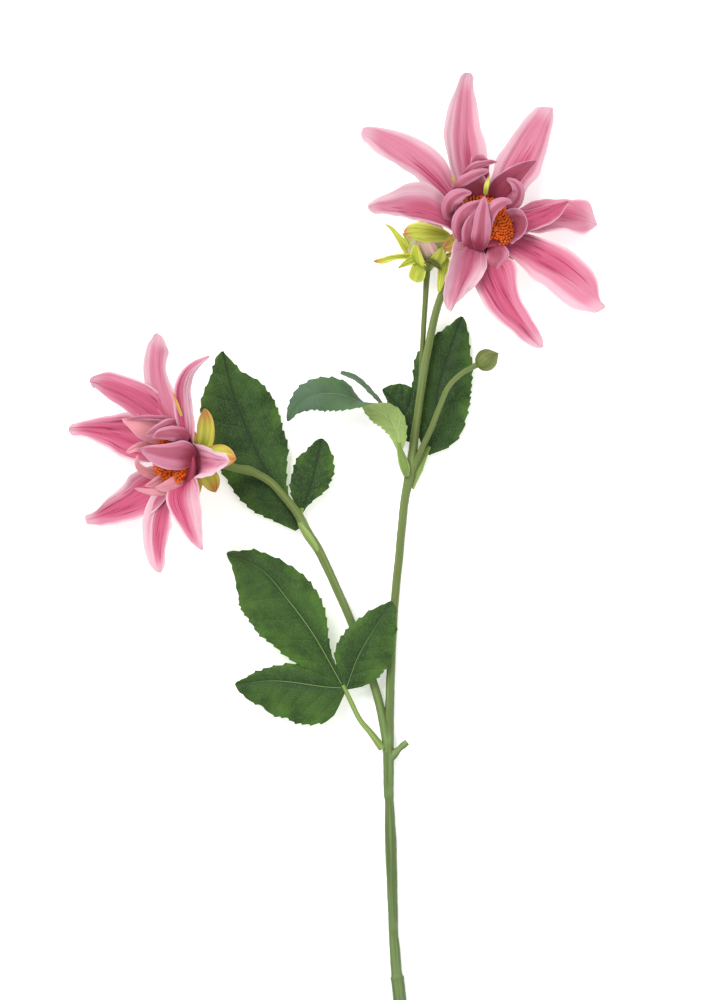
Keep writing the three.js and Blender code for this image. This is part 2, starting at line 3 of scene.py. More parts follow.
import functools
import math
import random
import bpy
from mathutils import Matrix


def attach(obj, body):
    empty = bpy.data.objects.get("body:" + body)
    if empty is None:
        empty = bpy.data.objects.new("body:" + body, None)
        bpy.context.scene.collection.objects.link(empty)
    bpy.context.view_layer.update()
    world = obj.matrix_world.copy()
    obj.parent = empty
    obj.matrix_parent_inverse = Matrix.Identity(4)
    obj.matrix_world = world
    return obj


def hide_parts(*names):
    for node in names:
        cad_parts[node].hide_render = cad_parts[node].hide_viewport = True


bl_info = {
    "name": "Dahlia spray",
    "version": (1, 0, 0),
    "blender": (4, 5, 0),
    "location": "3D View > Sidebar > Dahlia",
    "description": "Petals, florets, buds, leaves and stem of a dahlia spray, each over its own solid",
    "category": "Add Mesh",
}

import bpy
import numpy as np

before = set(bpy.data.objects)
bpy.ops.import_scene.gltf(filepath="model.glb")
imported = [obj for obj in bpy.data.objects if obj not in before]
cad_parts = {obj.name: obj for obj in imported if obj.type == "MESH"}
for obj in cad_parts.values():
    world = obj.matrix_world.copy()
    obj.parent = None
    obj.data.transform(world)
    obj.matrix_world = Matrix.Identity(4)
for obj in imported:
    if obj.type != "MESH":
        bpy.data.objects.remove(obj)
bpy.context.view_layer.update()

MILLIMETRE = 0.001
# From the layout, whose places the tables below give in millimetres, to the middle of the outline
LAYOUT_SHIFT = np.array([12.5, 21.0, 0.0])
GOLDEN_ANGLE = math.pi * (3 - math.sqrt(5))
# The layers hold distances over a blade or along a stalk in tenths of a metre
LAYER_UNIT = 100
# Spreads whole seeds evenly between 0 and 1
SEED_SPREAD = 0.6180339
LEAST_HALF_WIDTH = 0.12
# How thick a blade's edge is beside its middle, and over how much of its half-width a crease bends
EDGE_THICKNESS = 0.35
CREASE_BLEND = 0.07
# A leaf's teeth: their depth, where in each the point is, and the half-width from which they are full
TOOTH_DEPTH = 3.7
TOOTH_PEAK = 0.86
TOOTH_FULL_WIDTH = 5.5
# A leaflet's side veins to each side, and how far they run forward on their way out
SIDE_VEINS = 7
VEIN_SLOPE = 0.75
# A stalk's rings: the gap between them, and over how many points its given radii are evened out
STALK_RING_GAP = 0.9
STALK_BLUR = 17
# Faces along and across a calyx sepal, a pale scale, a bud's bract and a sepal that hugs or covers the bud
SEPAL_GRID = (40, 18)
SCALE_GRID = (20, 8)
BRACT_GRID = (36, 16)
BUD_SEPAL_GRID = (48, 22)

# Heights and radii along a bloom's axis, from the plane where its ray petals root
STALK_END = -11.0
CALYX = {"bottom": -10.3, "top": -4.6, "neck": 2.6, "rim": 7.5}
RAY = {"bottom": -4.3, "top": 4.0, "ring": 10.5, "root": 7.8}
INNER = {"bottom": 4.3, "top": 8.4, "ring": 13.6, "height": 6.6}
DISC = {"bottom": 8.7, "top": 15.2, "radius": 11.6}

# Shares of a blade's length at which the tables below give its half-widths
STATIONS = (0, 0.1, 0.2, 0.3, 0.4, 0.5, 0.6, 0.7, 0.8, 0.88, 0.94, 0.98, 1)

# Ray petals: turn about the axis and rise over the bloom's plane at the root, the tip's place, how far
# the left and right edges turn up, the sideways bow, and the half-widths on the left and on the right.
# pale is how much of the left and right half is pale, from its edge in. deep is the rose band: where its
# middle is across the petal, its half-width and how far up the petal it reaches. crease bends the petal
# over at that place across it, by an angle. dusky darkens a petal, or lightens it where it is below zero.
# A rib gives the places of the petal's middle in place of the tip, and face turns it to the camera.
UPPER_RAYS = [
    dict(turn=98, rise=14, tip=(53.5, 213.5, 34), fold=(35, 30), bow=-4, pale=(0.55, 0.45), dusky=-0.12,
         deep=(0.15, 0.45, 0.65), crease=(0.3, 18),
         left=(3.3, 6, 7.8, 9.3, 10.8, 11.8, 12.2, 10.6, 8.1, 6.1, 4.9, 3.6, 1.8),
         right=(3.3, 6.5, 8.3, 10, 10.8, 10.8, 9, 7.9, 6.4, 4.8, 4.2, 3.7, 2)),
    dict(turn=60, rise=14, tip=(97, 198, 0.1), fold=(35, 30), bow=1, pale=(0.4, 0.36),
         deep=(0.05, 0.75, 0.7), crease=(0.28, -30),
         left=(4, 7, 8.5, 9.7, 12, 12.3, 11.9, 11.4, 10.1, 8.5, 6.9, 3.4, 0.8),
         right=(3.2, 5.5, 8, 10, 10.2, 11.9, 10.4, 8.5, 6.1, 4.4, 2.9, 1.5, 0.8)),
    dict(turn=12, rise=22, tip=(119.5, 139, 0.1), fold=(20, 45), bow=-3, pale=(0.14, 0.2),
         deep=(-0.1, 0.95, 0.92), crease=(-0.25, -42),
         left=(3, 4, 5, 6.5, 9, 11.4, 12.6, 13, 13.6, 13.6, 11, 4.2, 0.5),
         right=(3, 6.5, 9.5, 12, 13, 13.6, 14, 14, 10.8, 7.2, 4, 1.4, 0.3)),
    dict(turn=318, rise=16, tip=(121, 95, 58), fold=(35, 25), bow=-4, pale=(0.2, 0.5),
         deep=(-0.25, 0.85, 0.78), crease=(0.4, -38),
         left=(4, 8.7, 11.2, 12.2, 13.4, 14, 13, 11.7, 8.3, 3.6, 1.4, 1.1, 0.5),
         right=(3, 4, 5, 6.7, 9.4, 9.6, 10.8, 11.6, 11.6, 10.2, 8.1, 6.7, 5.5)),
    dict(turn=280, rise=14, tip=(90, 75.5, 70), fold=(35, 10), bow=4, pale=(0.14, 0.2),
         deep=(0.1, 0.9, 0.98), crease=(-0.2, 28),
         left=(3, 8, 10.2, 10.4, 9, 7.3, 6.2, 5.7, 4.8, 4.4, 3.6, 1.9, 0.6),
         right=(3, 6.5, 9.5, 11.5, 13.1, 12.6, 12.6, 10.6, 8.7, 7.9, 5.8, 4.1, 1.8)),
    dict(turn=243, rise=20, tip=(44.5, 92.5, 90), fold=(35, 45), bow=0, pale=(0.6, 0.75), dusky=-0.2,
         deep=(-0.1, 0.42, 0.8), crease=(0.5, 40),
         left=(4, 7, 9.5, 10.5, 10, 8.5, 6.1, 4.6, 3.1, 1.3, 0.8, 0.5, 0.3),
         right=(3, 6, 9, 12, 12.2, 11.1, 10.5, 9.2, 9.1, 7.7, 6, 5.4, 3.5)),
    dict(turn=187, rise=16, tip=(4, 144, 78), fold=(40, 35), bow=3, pale=(0.6, 0.5), dusky=-0.12,
         deep=(0.15, 0.6, 0.75), crease=(-0.35, 35),
         left=(4, 6, 6, 5, 4.5, 4.4, 5, 4, 4.5, 4.5, 4.9, 4.5, 3),
         right=(4, 8.6, 13.4, 17, 18.2, 17, 14.4, 10.3, 7.3, 5.2, 3.2, 2, 0.8)),
    dict(turn=147, rise=12, tip=(1, 184, 48), fold=(30, 30), bow=4, pale=(0.65, 0.35), dusky=-0.1,
         deep=(0.05, 0.55, 0.62), crease=(-0.15, 25),
         left=(4, 6, 7, 7, 7.5, 8.2, 10.7, 13.1, 13.3, 10.4, 6.4, 5.2, 2.5),
         right=(3, 5, 8, 11, 13.7, 14, 13, 11.1, 8.6, 6.1, 4.2, 2.6, 1)),
    dict(turn=5, rise=25, rib=[(78.5, 138, 29.5), (84, 140.6, 28.6), (90.1, 142.4, 27.6),
                              (97.1, 145.4, 26.4), (104.2, 149.5, 24.6)],
         fold=(-20, 25), face=0.8, pale=(0.1, 0.1), deep=(0, 1.6, 1.3), dusky=0.25,
         left=(2, 3, 3.6, 4, 4.4, 4.5, 4.4, 4, 3.2, 2.3, 1.5, 0.9, 0.3),
         right=(2, 3.6, 4.8, 5.8, 6.5, 6.9, 6.8, 6, 4.6, 3.2, 2, 1.1, 0.3)),
]
LEFT_RAYS = [
    dict(turn=97, rise=16, tip=(-100, 82.5, 49), fold=(30, 30), bow=-6, pale=(0.5, 0.45),
         deep=(-0.1, 0.55, 0.4), crease=(0.15, -34),
         left=(3, 5, 6.5, 7.5, 8.5, 9, 9, 8.3, 7, 5.5, 3.4, 2.5, 1.2),
         right=(3, 6, 8.5, 9.3, 8.8, 7.4, 5.3, 4.6, 5.4, 6.5, 6, 4.7, 2.4)),
    dict(turn=60, rise=14, rib=[(-85.6, 34.3, 44), (-87.1, 48.1, 52), (-87.2, 56, 58),
                                (-83.5, 64.2, 66.5), (-74.1, 70.9, 75)],
         fold=(30, 35), face=0.6, pale=(0.25, 1.0), deep=(-0.5, 0.45, 0.8), crease=(0.1, -35),
         left=(3, 4.2, 5, 5.4, 5.6, 5.4, 4.8, 4, 3, 2.2, 1.5, 0.9, 0.2),
         right=(3, 3.8, 4.2, 4.4, 4.2, 3.8, 3.4, 3, 2.4, 1.7, 1.1, 0.6, 0.2)),
    dict(turn=130, rise=16, tip=(-135.5, 60, 20), fold=30, bow=4.5, pale=(0.1, 0.1),
         deep=(0, 1.25, 1.05), crease=(0.25, -25),
         left=(3, 5, 7, 9, 9.5, 9, 8, 7.2, 6.3, 4.9, 3.6, 3.5, 1.5),
         right=(3, 5.6, 8, 10.6, 12.6, 13.1, 12, 9.6, 8.4, 7.2, 5, 3, 1.2)),
    dict(turn=166, rise=18, tip=(-147, 36, 0.1), fold=30, bow=4, pale=(0.14, 0.16),
         deep=(0, 1.25, 1.05), crease=(-0.2, 28),
         left=(4, 6, 8, 9.3, 9.6, 8.8, 6.9, 5.4, 4, 3.3, 3.4, 2.9, 1),
         right=(4, 7, 10, 13, 14.5, 13.3, 10.2, 7.7, 5.3, 3.8, 2.7, 2.1, 0.8)),
    dict(turn=205, rise=18, tip=(-138.5, -10, 0.1), fold=35, bow=-2.5, pale=(0.2, 0.4),
         deep=(-0.1, 1.0, 1.0), crease=(0.3, 30),
         left=(3, 7, 10.5, 13, 13.8, 12.8, 11.2, 9.3, 7.1, 5.7, 3.8, 2.9, 2.3),
         right=(3, 6, 8.5, 9.5, 9.5, 7.2, 6, 5.5, 3.9, 2.4, 2.1, 2.4, 2)),
    dict(turn=255, rise=16, tip=(-99.5, -36, 39), fold=(12, 40), bow=8, pale=(0.45, 0.8),
         deep=(0, 0.7, 0.95), crease=(-0.4, 38),
         left=(3, 5, 7.5, 8.8, 10, 12.2, 13, 11.6, 8.8, 5.6, 3.2, 1.4, 0.4),
         right=(3, 6, 8, 9.5, 10, 9.5, 8.4, 7.6, 6.3, 5.1, 3.4, 2.1, 0.9)),
    dict(turn=308, rise=20, rib=[(-85.7, 8, 42), (-86.4, 1, 51), (-84.3, -6.9, 60), (-81.4, -16, 68),
                                 (-77.6, -24.4, 75)],
         fold=(35, 30), face=0.8, pale=(1.0, 0.2), deep=(0.5, 0.7, 0.9), crease=(-0.12, -30), dusky=0.1,
         left=(3, 5, 6.5, 7.3, 7.4, 6.8, 5.8, 4.8, 3.7, 2.6, 1.7, 0.9, 0.3),
         right=(3, 6, 8.6, 9.8, 9.9, 9.2, 8, 6.5, 4.9, 3.5, 2.2, 1.2, 0.3)),
    dict(turn=4, rise=22, tip=(-64, 19, 95), fold=45, bow=0, pale=(0.5, 0.55), dusky=-0.3,
         deep=(0.1, 0.6, 0.62), crease=(0.1, 30),
         left=(9, 10.5, 10, 8.6, 7, 6, 5.4, 4.8, 4, 3.2, 2.2, 1.2, 0.4),
         right=(8, 8.6, 8.8, 8.6, 8.2, 7.6, 6.6, 5.6, 4.2, 3, 2, 1, 0.4)),
]

# Inner petals by the places of their middles, from the root to the tip
UPPER_INNER = [
    dict(rib=[(59.3, 124.6, 39.5), (59.9, 128.8, 45), (60.4, 135.1, 49), (61.1, 142, 51),
              (61.8, 147.4, 51), (61.8, 150.7, 50)],
         fold=(-38, -38), pale=(0.7, 0.8), deep=(-0.2, 0.6, 0.45),
         left=(2.6, 4, 4.9, 5.1, 5, 4.8, 4.4, 3.9, 3.2, 2.5, 1.8, 1.1, 0.3),
         right=(2.4, 3.8, 4.6, 4.8, 4.8, 4.6, 4.1, 3.4, 2.6, 1.9, 1.3, 0.8, 0.3)),
    dict(rib=[(55.3, 125.6, 39), (53.8, 130.4, 43.5), (53.5, 134.8, 46.4), (54.7, 139.2, 47.6),
              (57.2, 142.7, 47.4)],
         fold=(-30, -30), pale=(0.6, 0.4), deep=(0.1, 0.6, 0.5),
         left=(2, 3, 3.4, 3.4, 3.2, 2.9, 2.5, 2.1, 1.6, 1.2, 0.8, 0.5, 0.2),
         right=(2.5, 4, 4.6, 4.8, 4.6, 4.2, 3.6, 3, 2.2, 1.5, 1, 0.6, 0.2)),
    dict(rib=[(52.3, 128.1, 39), (50, 133.9, 43), (50.2, 139.7, 46), (53.2, 144.2, 47.4),
              (57.7, 146.9, 47.6), (62.1, 148.6, 47)],
         fold=(-35, -35), pale=(0.7, 0.5), deep=(0.2, 0.8, 0.6),
         left=(2.4, 3.6, 4.1, 4.3, 4.3, 4.1, 3.7, 3.2, 2.5, 1.9, 1.3, 0.8, 0.3),
         right=(4, 5, 5.6, 6, 6.2, 6, 5.4, 4.6, 3.4, 2.4, 1.6, 0.9, 0.3)),
    dict(rib=[(61.7, 130.9, 43), (63.1, 137.7, 46.8), (65.6, 143.1, 48.8), (69.5, 146.5, 49.6),
              (73, 147.8, 49.4), (75.5, 147.6, 48.6)],
         fold=(-25, -30), pale=(0.8, 0.5), deep=(0.3, 0.6, 0.5),
         left=(3, 3.6, 4, 4.3, 4.5, 4.6, 4.4, 4.1, 3.4, 2.5, 1.6, 0.9, 0.3),
         right=(3, 3.3, 3.2, 3.1, 2.9, 2.6, 2.4, 2.2, 1.9, 1.5, 1, 0.6, 0.2)),
    dict(rib=[(48.9, 139.7, 37.4), (44.3, 142, 40.4), (43.6, 145.8, 43.2), (45, 149, 45.4),
              (48.2, 151.4, 46.2), (51.7, 152.8, 46), (55.5, 152.9, 45.2)],
         fold=(-40, -32), pale=(0.9, 0.7), deep=(0.1, 0.5, 0.35),
         left=(2.4, 3.2, 3.4, 3.4, 3.5, 3.6, 3.6, 3.3, 2.7, 2, 1.3, 0.8, 0.2),
         right=(3, 3.6, 4, 4.2, 4.4, 4.5, 4.4, 4, 3.3, 2.4, 1.6, 1, 0.3)),
    dict(rib=[(58.5, 149.4, 31.6), (57.9, 152.3, 34.6), (57.1, 155.5, 38.6), (55.8, 158.9, 42),
              (54.7, 160.5, 43.6)],
         fold=(25, 25), pale=(0.3, 0.3), deep=(0, 1.3, 1.0), dusky=0.3,
         left=(3.5, 4.4, 5.2, 6, 6.6, 7, 7.2, 7.2, 7, 6.4, 5.4, 3.6, 1.2),
         right=(3.2, 4, 4.6, 5.4, 6.2, 6.8, 7, 7.1, 6.9, 6.4, 5.2, 3.6, 1.2)),
    dict(rib=[(46.3, 154.1, 43), (49.3, 157, 45), (53.2, 159.9, 46.6), (58.2, 162.1, 46.8),
              (64.2, 163.9, 45.2)],
         fold=(-45, -48), pale=(0.8, 0.6), deep=(0, 0.4, 0.25),
         left=(0.8, 1.6, 2.4, 2.9, 3.1, 3.1, 3, 2.7, 2.3, 1.8, 1.3, 0.8, 0.3),
         right=(0.8, 1.5, 2.2, 2.6, 2.8, 2.8, 2.6, 2.4, 2, 1.6, 1.1, 0.7, 0.3)),
    dict(rib=[(61.9, 156.8, 33), (60.9, 161.6, 37), (59.5, 165.4, 41), (58.7, 168.2, 43.4),
              (58.2, 170.5, 43.6), (58, 171.5, 42.6)],
         fold=(30, 15), pale=(0.1, 0.3), deep=(0, 1.3, 1.1),
         left=(3, 3.4, 3.8, 4.1, 4.3, 4.4, 4.4, 4.3, 4, 3.5, 2.8, 1.9, 0.6),
         right=(3, 3.2, 3.5, 3.8, 4.1, 4.6, 5.2, 5.6, 5.4, 4.8, 3.8, 2.4, 0.7)),
    dict(rib=[(51.3, 160.8, 42.6), (54.2, 163.7, 44.6), (57.7, 166.1, 46), (61.2, 167.1, 46),
              (64.7, 168.1, 45), (68.2, 168.3, 43)],
         fold=(-45, -45), pale=(0.6, 0.3), deep=(0, 0.4, 0.4),
         left=(1, 1.6, 2, 2.2, 2.3, 2.2, 2, 1.7, 1.4, 1.1, 0.8, 0.5, 0.2),
         right=(0.8, 1.3, 1.6, 1.8, 1.9, 1.8, 1.6, 1.4, 1.1, 0.9, 0.6, 0.4, 0.2)),
    dict(rib=[(66.5, 148.6, 28.5), (69.4, 154.3, 33), (73.8, 159.1, 37.4), (79.2, 163.6, 41.4),
              (83.6, 166.5, 43.6), (87.8, 168.7, 44.6)],
         fold=(22, -20), pale=(0.12, 0.1), deep=(0, 1.5, 1.2),
         left=(3.5, 5, 5.8, 6, 5.8, 5.3, 4.7, 4, 3.1, 2.3, 1.5, 0.9, 0.3),
         right=(3, 4.6, 5.4, 5.6, 5.6, 5.3, 4.8, 4.1, 3.1, 2.1, 1.3, 0.7, 0.2)),
    dict(rib=[(72, 144.6, 28.5), (75.4, 146.9, 33), (78.3, 150.1, 37.6), (79.2, 154.2, 41),
              (77.2, 157.6, 42.6), (73, 160.1, 42)],
         fold=(-30, -40), pale=(0.9, 0.8), deep=(0, 0.9, 0.3),
         left=(2.4, 3, 3.2, 3.2, 3.2, 3.2, 3.2, 3, 2.5, 1.9, 1.3, 0.8, 0.2),
         right=(2.4, 3, 3.4, 3.6, 3.6, 3.5, 3.3, 2.9, 2.3, 1.7, 1.2, 0.7, 0.2)),
    dict(rib=[(73, 136, 31), (75.9, 136.6, 33), (78.8, 137.2, 36.4), (81.5, 137.5, 40.4),
              (83.4, 137.6, 44)],
         fold=(55, 60), pale=(0.5, 0.4), deep=(0.1, 0.8, 0.6),
         left=(6.4, 7.8, 8.8, 9.5, 9.9, 10, 9.8, 9.2, 8, 6.4, 4.5, 2.6, 0.7),
         right=(6.4, 8, 9.2, 10, 10.4, 10.4, 10.1, 9.4, 8.1, 6.4, 4.5, 2.6, 0.7)),
    dict(rib=[(66.3, 128.2, 37), (67.5, 124.6, 39.6), (67.7, 121, 41.4), (66.5, 117.5, 41.6),
              (65.3, 114.6, 40.4), (64.8, 112.4, 38.6)],
         fold=(-20, -40), pale=(0.5, 0.5), deep=(0, 1, 0.6),
         left=(2, 3.6, 5.4, 6.4, 6.6, 5.6, 3.8, 3.4, 3.3, 2.9, 2.2, 1.4, 0.4),
         right=(2, 3.6, 5, 5.8, 6.1, 6.1, 5.8, 5.2, 4.4, 3.5, 2.5, 1.5, 0.4)),
]
LEFT_INNER = [
    dict(rib=[(-82.1, 20.9, 45), (-86.9, 21.9, 49.6), (-93.3, 22.6, 52.6), (-100.2, 23.8, 53.2),
              (-105.2, 24.7, 51.6), (-109, 25.3, 49.6)],
         fold=(-30, -30), pale=(0.8, 0.5), deep=(0.1, 0.6, 0.4),
         left=(4, 6, 7.1, 7.7, 7.9, 7.8, 7.4, 6.6, 5.2, 3.8, 2.5, 1.4, 0.4),
         right=(4, 6.6, 7.6, 7.6, 6.6, 5.6, 4.6, 3.7, 2.9, 2.1, 1.4, 0.8, 0.3)),
    dict(rib=[(-85.2, 30.6, 44.6), (-90.3, 33.1, 48), (-95.3, 33.3, 49.6), (-99.8, 32.5, 49),
              (-103.1, 30.8, 47)],
         fold=(-30, -38), pale=(0.5, 0.6), deep=(0.2, 0.7, 0.5),
         left=(3, 3.8, 4.3, 4.4, 4.2, 4, 3.7, 3.3, 2.7, 2.1, 1.4, 0.8, 0.3),
         right=(2.4, 3.4, 3.9, 4, 3.9, 3.7, 3.4, 2.9, 2.3, 1.7, 1.1, 0.6, 0.2)),
    dict(rib=[(-89.1, 38.8, 42.6), (-94.5, 38.3, 46), (-99.4, 36, 47.4), (-103.4, 33.8, 47),
              (-107, 32.1, 45)],
         fold=(-40, -30), pale=(0.6, 0.6), deep=(0, 0.5, 0.4),
         left=(1.2, 1.7, 2.1, 2.3, 2.4, 2.3, 2.1, 1.8, 1.4, 1, 0.7, 0.4, 0.2),
         right=(1.2, 1.7, 2.1, 2.4, 2.5, 2.4, 2.2, 1.9, 1.5, 1.1, 0.8, 0.5, 0.2)),
    dict(rib=[(-97.4, 31, 34), (-103.7, 34.4, 38.4), (-109.6, 37.2, 40.6), (-114.6, 39.1, 41),
              (-118.6, 40.4, 40.2)],
         fold=(-15, 30), pale=(1.2, 1.2), deep=(0.1, 0.4, 0.3), dusky=-0.7,
         left=(3, 4.6, 5.6, 6.1, 6.2, 6, 5.4, 4.4, 3.2, 2.3, 1.5, 0.9, 0.3),
         right=(3, 5, 6.2, 6.4, 6, 5.2, 4.2, 3.2, 2.2, 1.5, 1, 0.6, 0.2)),
    dict(rib=[(-90.7, 39.4, 41), (-97.1, 40.6, 43), (-104.5, 41.1, 43.8), (-111.5, 40.8, 43.4),
              (-116.5, 40.3, 42.4)],
         fold=(-45, -45), pale=(0.7, 0.7), deep=(0, 0.4, 0.3),
         left=(0.8, 1.2, 1.5, 1.6, 1.6, 1.5, 1.4, 1.2, 1, 0.8, 0.5, 0.3, 0.2),
         right=(0.8, 1.2, 1.4, 1.5, 1.5, 1.5, 1.3, 1.1, 0.9, 0.7, 0.5, 0.3, 0.2)),
    dict(rib=[(-100, 24, 30), (-104.9, 26.2, 34), (-108.7, 26.9, 38), (-111.6, 26.4, 40.4),
              (-114.6, 24.9, 40.8), (-116.4, 23.7, 39.6)],
         fold=(35, -25), pale=(1, 1), deep=(0, 0.6, 0.4), dusky=-0.6,
         left=(2.5, 3.2, 3.5, 3.5, 3.4, 3.3, 3.1, 2.8, 2.3, 1.8, 1.3, 0.8, 0.3),
         right=(2, 2.4, 2.5, 2.4, 2.2, 2, 1.9, 1.7, 1.4, 1.1, 0.8, 0.5, 0.2)),
    dict(rib=[(-97, 13, 29), (-102.4, 12.7, 32), (-106.8, 13.7, 35.4), (-109.9, 16.2, 39),
              (-111.1, 19.4, 41.4), (-110.5, 22.4, 42.4)],
         fold=(-20, 40), pale=(1.1, 1.1), deep=(0, 0.5, 0.3), dusky=-0.8,
         left=(2.2, 2.6, 2.8, 2.7, 2.4, 2.1, 1.9, 1.7, 1.4, 1.1, 0.8, 0.5, 0.2),
         right=(2.4, 3.2, 3.6, 3.5, 3.1, 2.6, 2.2, 1.9, 1.5, 1.1, 0.8, 0.5, 0.2)),
    dict(rib=[(-93.9, 11.5, 33), (-97.3, 10, 36), (-100.7, 8.7, 38), (-104.2, 7.5, 38.4),
              (-107.2, 7, 37.4)],
         fold=(25, 25), pale=(0.6, 0.6), deep=(0, 0.8, 0.5), dusky=-0.5,
         left=(2.2, 2.6, 2.8, 2.8, 2.6, 2.4, 2.1, 1.8, 1.4, 1, 0.7, 0.4, 0.2),
         right=(2.2, 3, 3.6, 3.8, 3.7, 3.4, 3, 2.5, 1.9, 1.4, 0.9, 0.5, 0.2)),
    dict(rib=[(-86.7, 11, 40), (-90.1, 9, 42.6), (-94.1, 7.2, 43.6), (-98.1, 6.2, 43), (-102.1, 6.2, 41)],
         fold=(-30, 20), pale=(1, 0.8), deep=(0, 0.6, 0.3), dusky=-0.5,
         left=(2.4, 3.2, 3.7, 3.9, 3.8, 3.5, 3, 2.5, 1.9, 1.4, 0.9, 0.5, 0.2),
         right=(2.4, 3.2, 3.8, 4, 3.9, 3.6, 3.2, 2.6, 2, 1.4, 0.9, 0.5, 0.2)),
    dict(rib=[(-89.3, 6.5, 38), (-94.7, 4.7, 40), (-100.6, 4, 40.4), (-106.7, 4.5, 39.6),
              (-112.4, 5.7, 38)],
         fold=(-35, -30), pale=(1.2, 1.2), deep=(0, 0.3, 0.2), dusky=-0.6,
         left=(1.2, 1.6, 1.9, 2, 2, 1.9, 1.8, 1.6, 1.3, 1, 0.7, 0.4, 0.2),
         right=(1.2, 1.6, 1.9, 2.1, 2.1, 2, 1.8, 1.6, 1.3, 1, 0.7, 0.4, 0.2)),
]

# Sepals: turn, the tip as (turn, radius, height) about the bloom's own axis, and half-width
UPPER_SEPALS = [(84, (82, 26, 0), 5.5), (128, (126, 28, -1), 5.5), (205, (205, 18, -10), 5.5),
                (262, (262, 24, -3), 5.5), (330, (332, 24, -3), 5.5), (30, (32, 23, -6), 5.5)]
LEFT_SEPALS = [(60, (66, 29.5, -2), 4.9), (14, (4, 28, -7), 6.6), (312, (311, 20, -6), 5.2),
               (250, (250, 23, -3), 5.5), (190, (190, 23, -2), 5.5), (120, (120, 24, -2), 5.5)]
# Pale scales that show between the petals: half-width, the places of their middles and how tan they are
UPPER_SCALES = [
    (1.3, [(62.5, 152.6, 38), (63, 156.4, 42), (64.5, 162.3, 43)], 0),
    (1.0, [(48.4, 156.1, 38), (47.1, 158.7, 40.5), (45.5, 162.1, 41.5)], 0.5),
]
LEFT_SCALES = [(0.8, [(-88.6, 41.7, 52), (-90.7, 47.6, 54), (-93.2, 54, 55)], 0.75)]


# Vectors and curves, in millimetres

def unit(vector):
    return vector / np.linalg.norm(vector)


def turned_about(vector, axis, angle):
    return (vector * math.cos(angle) + np.cross(axis, vector) * math.sin(angle)
            + axis * np.dot(axis, vector) * (1 - math.cos(angle)))


def smooth(value, low, high):
    share = np.clip((value - low) / (high - low), 0, 1)
    return share * share * (3 - 2 * share)


class Stand:
    """A bloom's or bud's place and how it leans from straight up."""

    def __init__(self, centre, lean, towards):
        self.centre = np.array(centre, float)
        lean, towards = math.radians(lean), math.radians(towards)
        pivot = np.array([-math.sin(towards), math.cos(towards), 0.0])
        self.basis = np.array([turned_about(np.eye(3)[i], pivot, lean) for i in range(3)])

    def direction(self, turn, rise):
        turn, rise = math.radians(turn), math.radians(rise)
        level = math.cos(rise)
        return np.array([level * math.cos(turn), level * math.sin(turn), math.sin(rise)]) @ self.basis

    def place(self, turn, radius, height):
        angle = math.radians(turn)
        return self.out(np.array([radius * math.cos(angle), radius * math.sin(angle), height]))

    def out(self, points):
        return self.centre + np.asarray(points) @ self.basis

    def along(self, height):
        return tuple(self.place(0, 0, height))


UPPER = Stand((60, 135.5, 28), 32, 50)
LEFT = Stand((-86, 19, 31), 47, 188)
HALF_OPEN = Stand((33.9, 129.6, 15), 72, 88)
GREEN = Stand((63.4, 70.2, 16.8), 88, 30)


def bent_line(root, bend_at, tip):
    t = np.linspace(0, 1, 400)[:, None]
    return (1 - t) ** 2 * root + 2 * t * (1 - t) * bend_at + t ** 2 * tip


def through(places, steps_each=60):
    """A smooth line through places, with the points crowded evenly between each pair."""
    places = [np.array(place[:3], float) for place in places]
    ends = [2 * places[0] - places[1], *places, 2 * places[-1] - places[-2]]
    line = []
    for before, start, end, after in zip(ends, ends[1:], ends[2:], ends[3:]):
        gaps = [max(np.linalg.norm(b - a) ** 0.5, 1e-4)
                for a, b in ((before, start), (start, end), (end, after))]
        leave = ((start - before) / gaps[0] - (end - before) / (gaps[0] + gaps[1])
                 + (end - start) / gaps[1]) * gaps[1]
        arrive = ((end - start) / gaps[1] - (after - start) / (gaps[1] + gaps[2])
                  + (after - end) / gaps[2]) * gaps[1]
        t = np.linspace(0, 1, steps_each, endpoint=False)[:, None]
        line.append(start + leave * t + (3 * (end - start) - 2 * leave - arrive) * t ** 2
                    + (2 * (start - end) + leave + arrive) * t ** 3)
    return np.vstack([*line, places[-1][None]])


def distances(line):
    """How far along the line each of its points lies."""
    return np.concatenate([[0], np.cumsum(np.linalg.norm(np.diff(line, axis=0), axis=1))])


def evenly(line, steps):
    """The line's points at equal distances, its tangents there and its length."""
    reach = distances(line)
    at = np.linspace(0, reach[-1], steps + 1)
    points = np.stack([np.interp(at, reach, line[:, i]) for i in range(3)], axis=1)
    tangents = np.gradient(points, axis=0)
    tangents[0] = line[1] - line[0]
    tangents[-1] = line[-1] - line[-2]
    return points, tangents / np.linalg.norm(tangents, axis=1)[:, None], reach[-1]


def carried(tangents, upper):
    """Normals carried along without turning about the line."""
    normal = unit(upper - np.dot(upper, tangents[0]) * tangents[0])
    normals = [normal]
    for before, after in zip(tangents, tangents[1:]):
        axis = np.cross(before, after)
        normal = (normal * np.dot(before, after) + np.cross(axis, normal)
                  + axis * np.dot(axis, normal) / (1 + np.dot(before, after)))
        normals.append(unit(normal))
    return np.array(normals)


def pair(value):
    return value if isinstance(value, tuple) else (value, value)


# Closed thin blades: petals, sepals and leaflets

def smooth_table(along, values):
    """A smooth curve through the values that a table gives at STATIONS."""
    slopes = np.gradient(values, STATIONS)
    place = np.clip(np.searchsorted(STATIONS, along, side="right") - 1, 0, len(STATIONS) - 2)
    at, values = np.array(STATIONS), np.array(values, float)
    step = at[place + 1] - at[place]
    t = (along - at[place]) / step
    return ((2 * t ** 3 - 3 * t ** 2 + 1) * values[place] + (t ** 3 - 2 * t ** 2 + t) * step * slopes[place]
            + (3 * t ** 2 - 2 * t ** 3) * values[place + 1] + (t ** 3 - t ** 2) * step * slopes[place + 1])


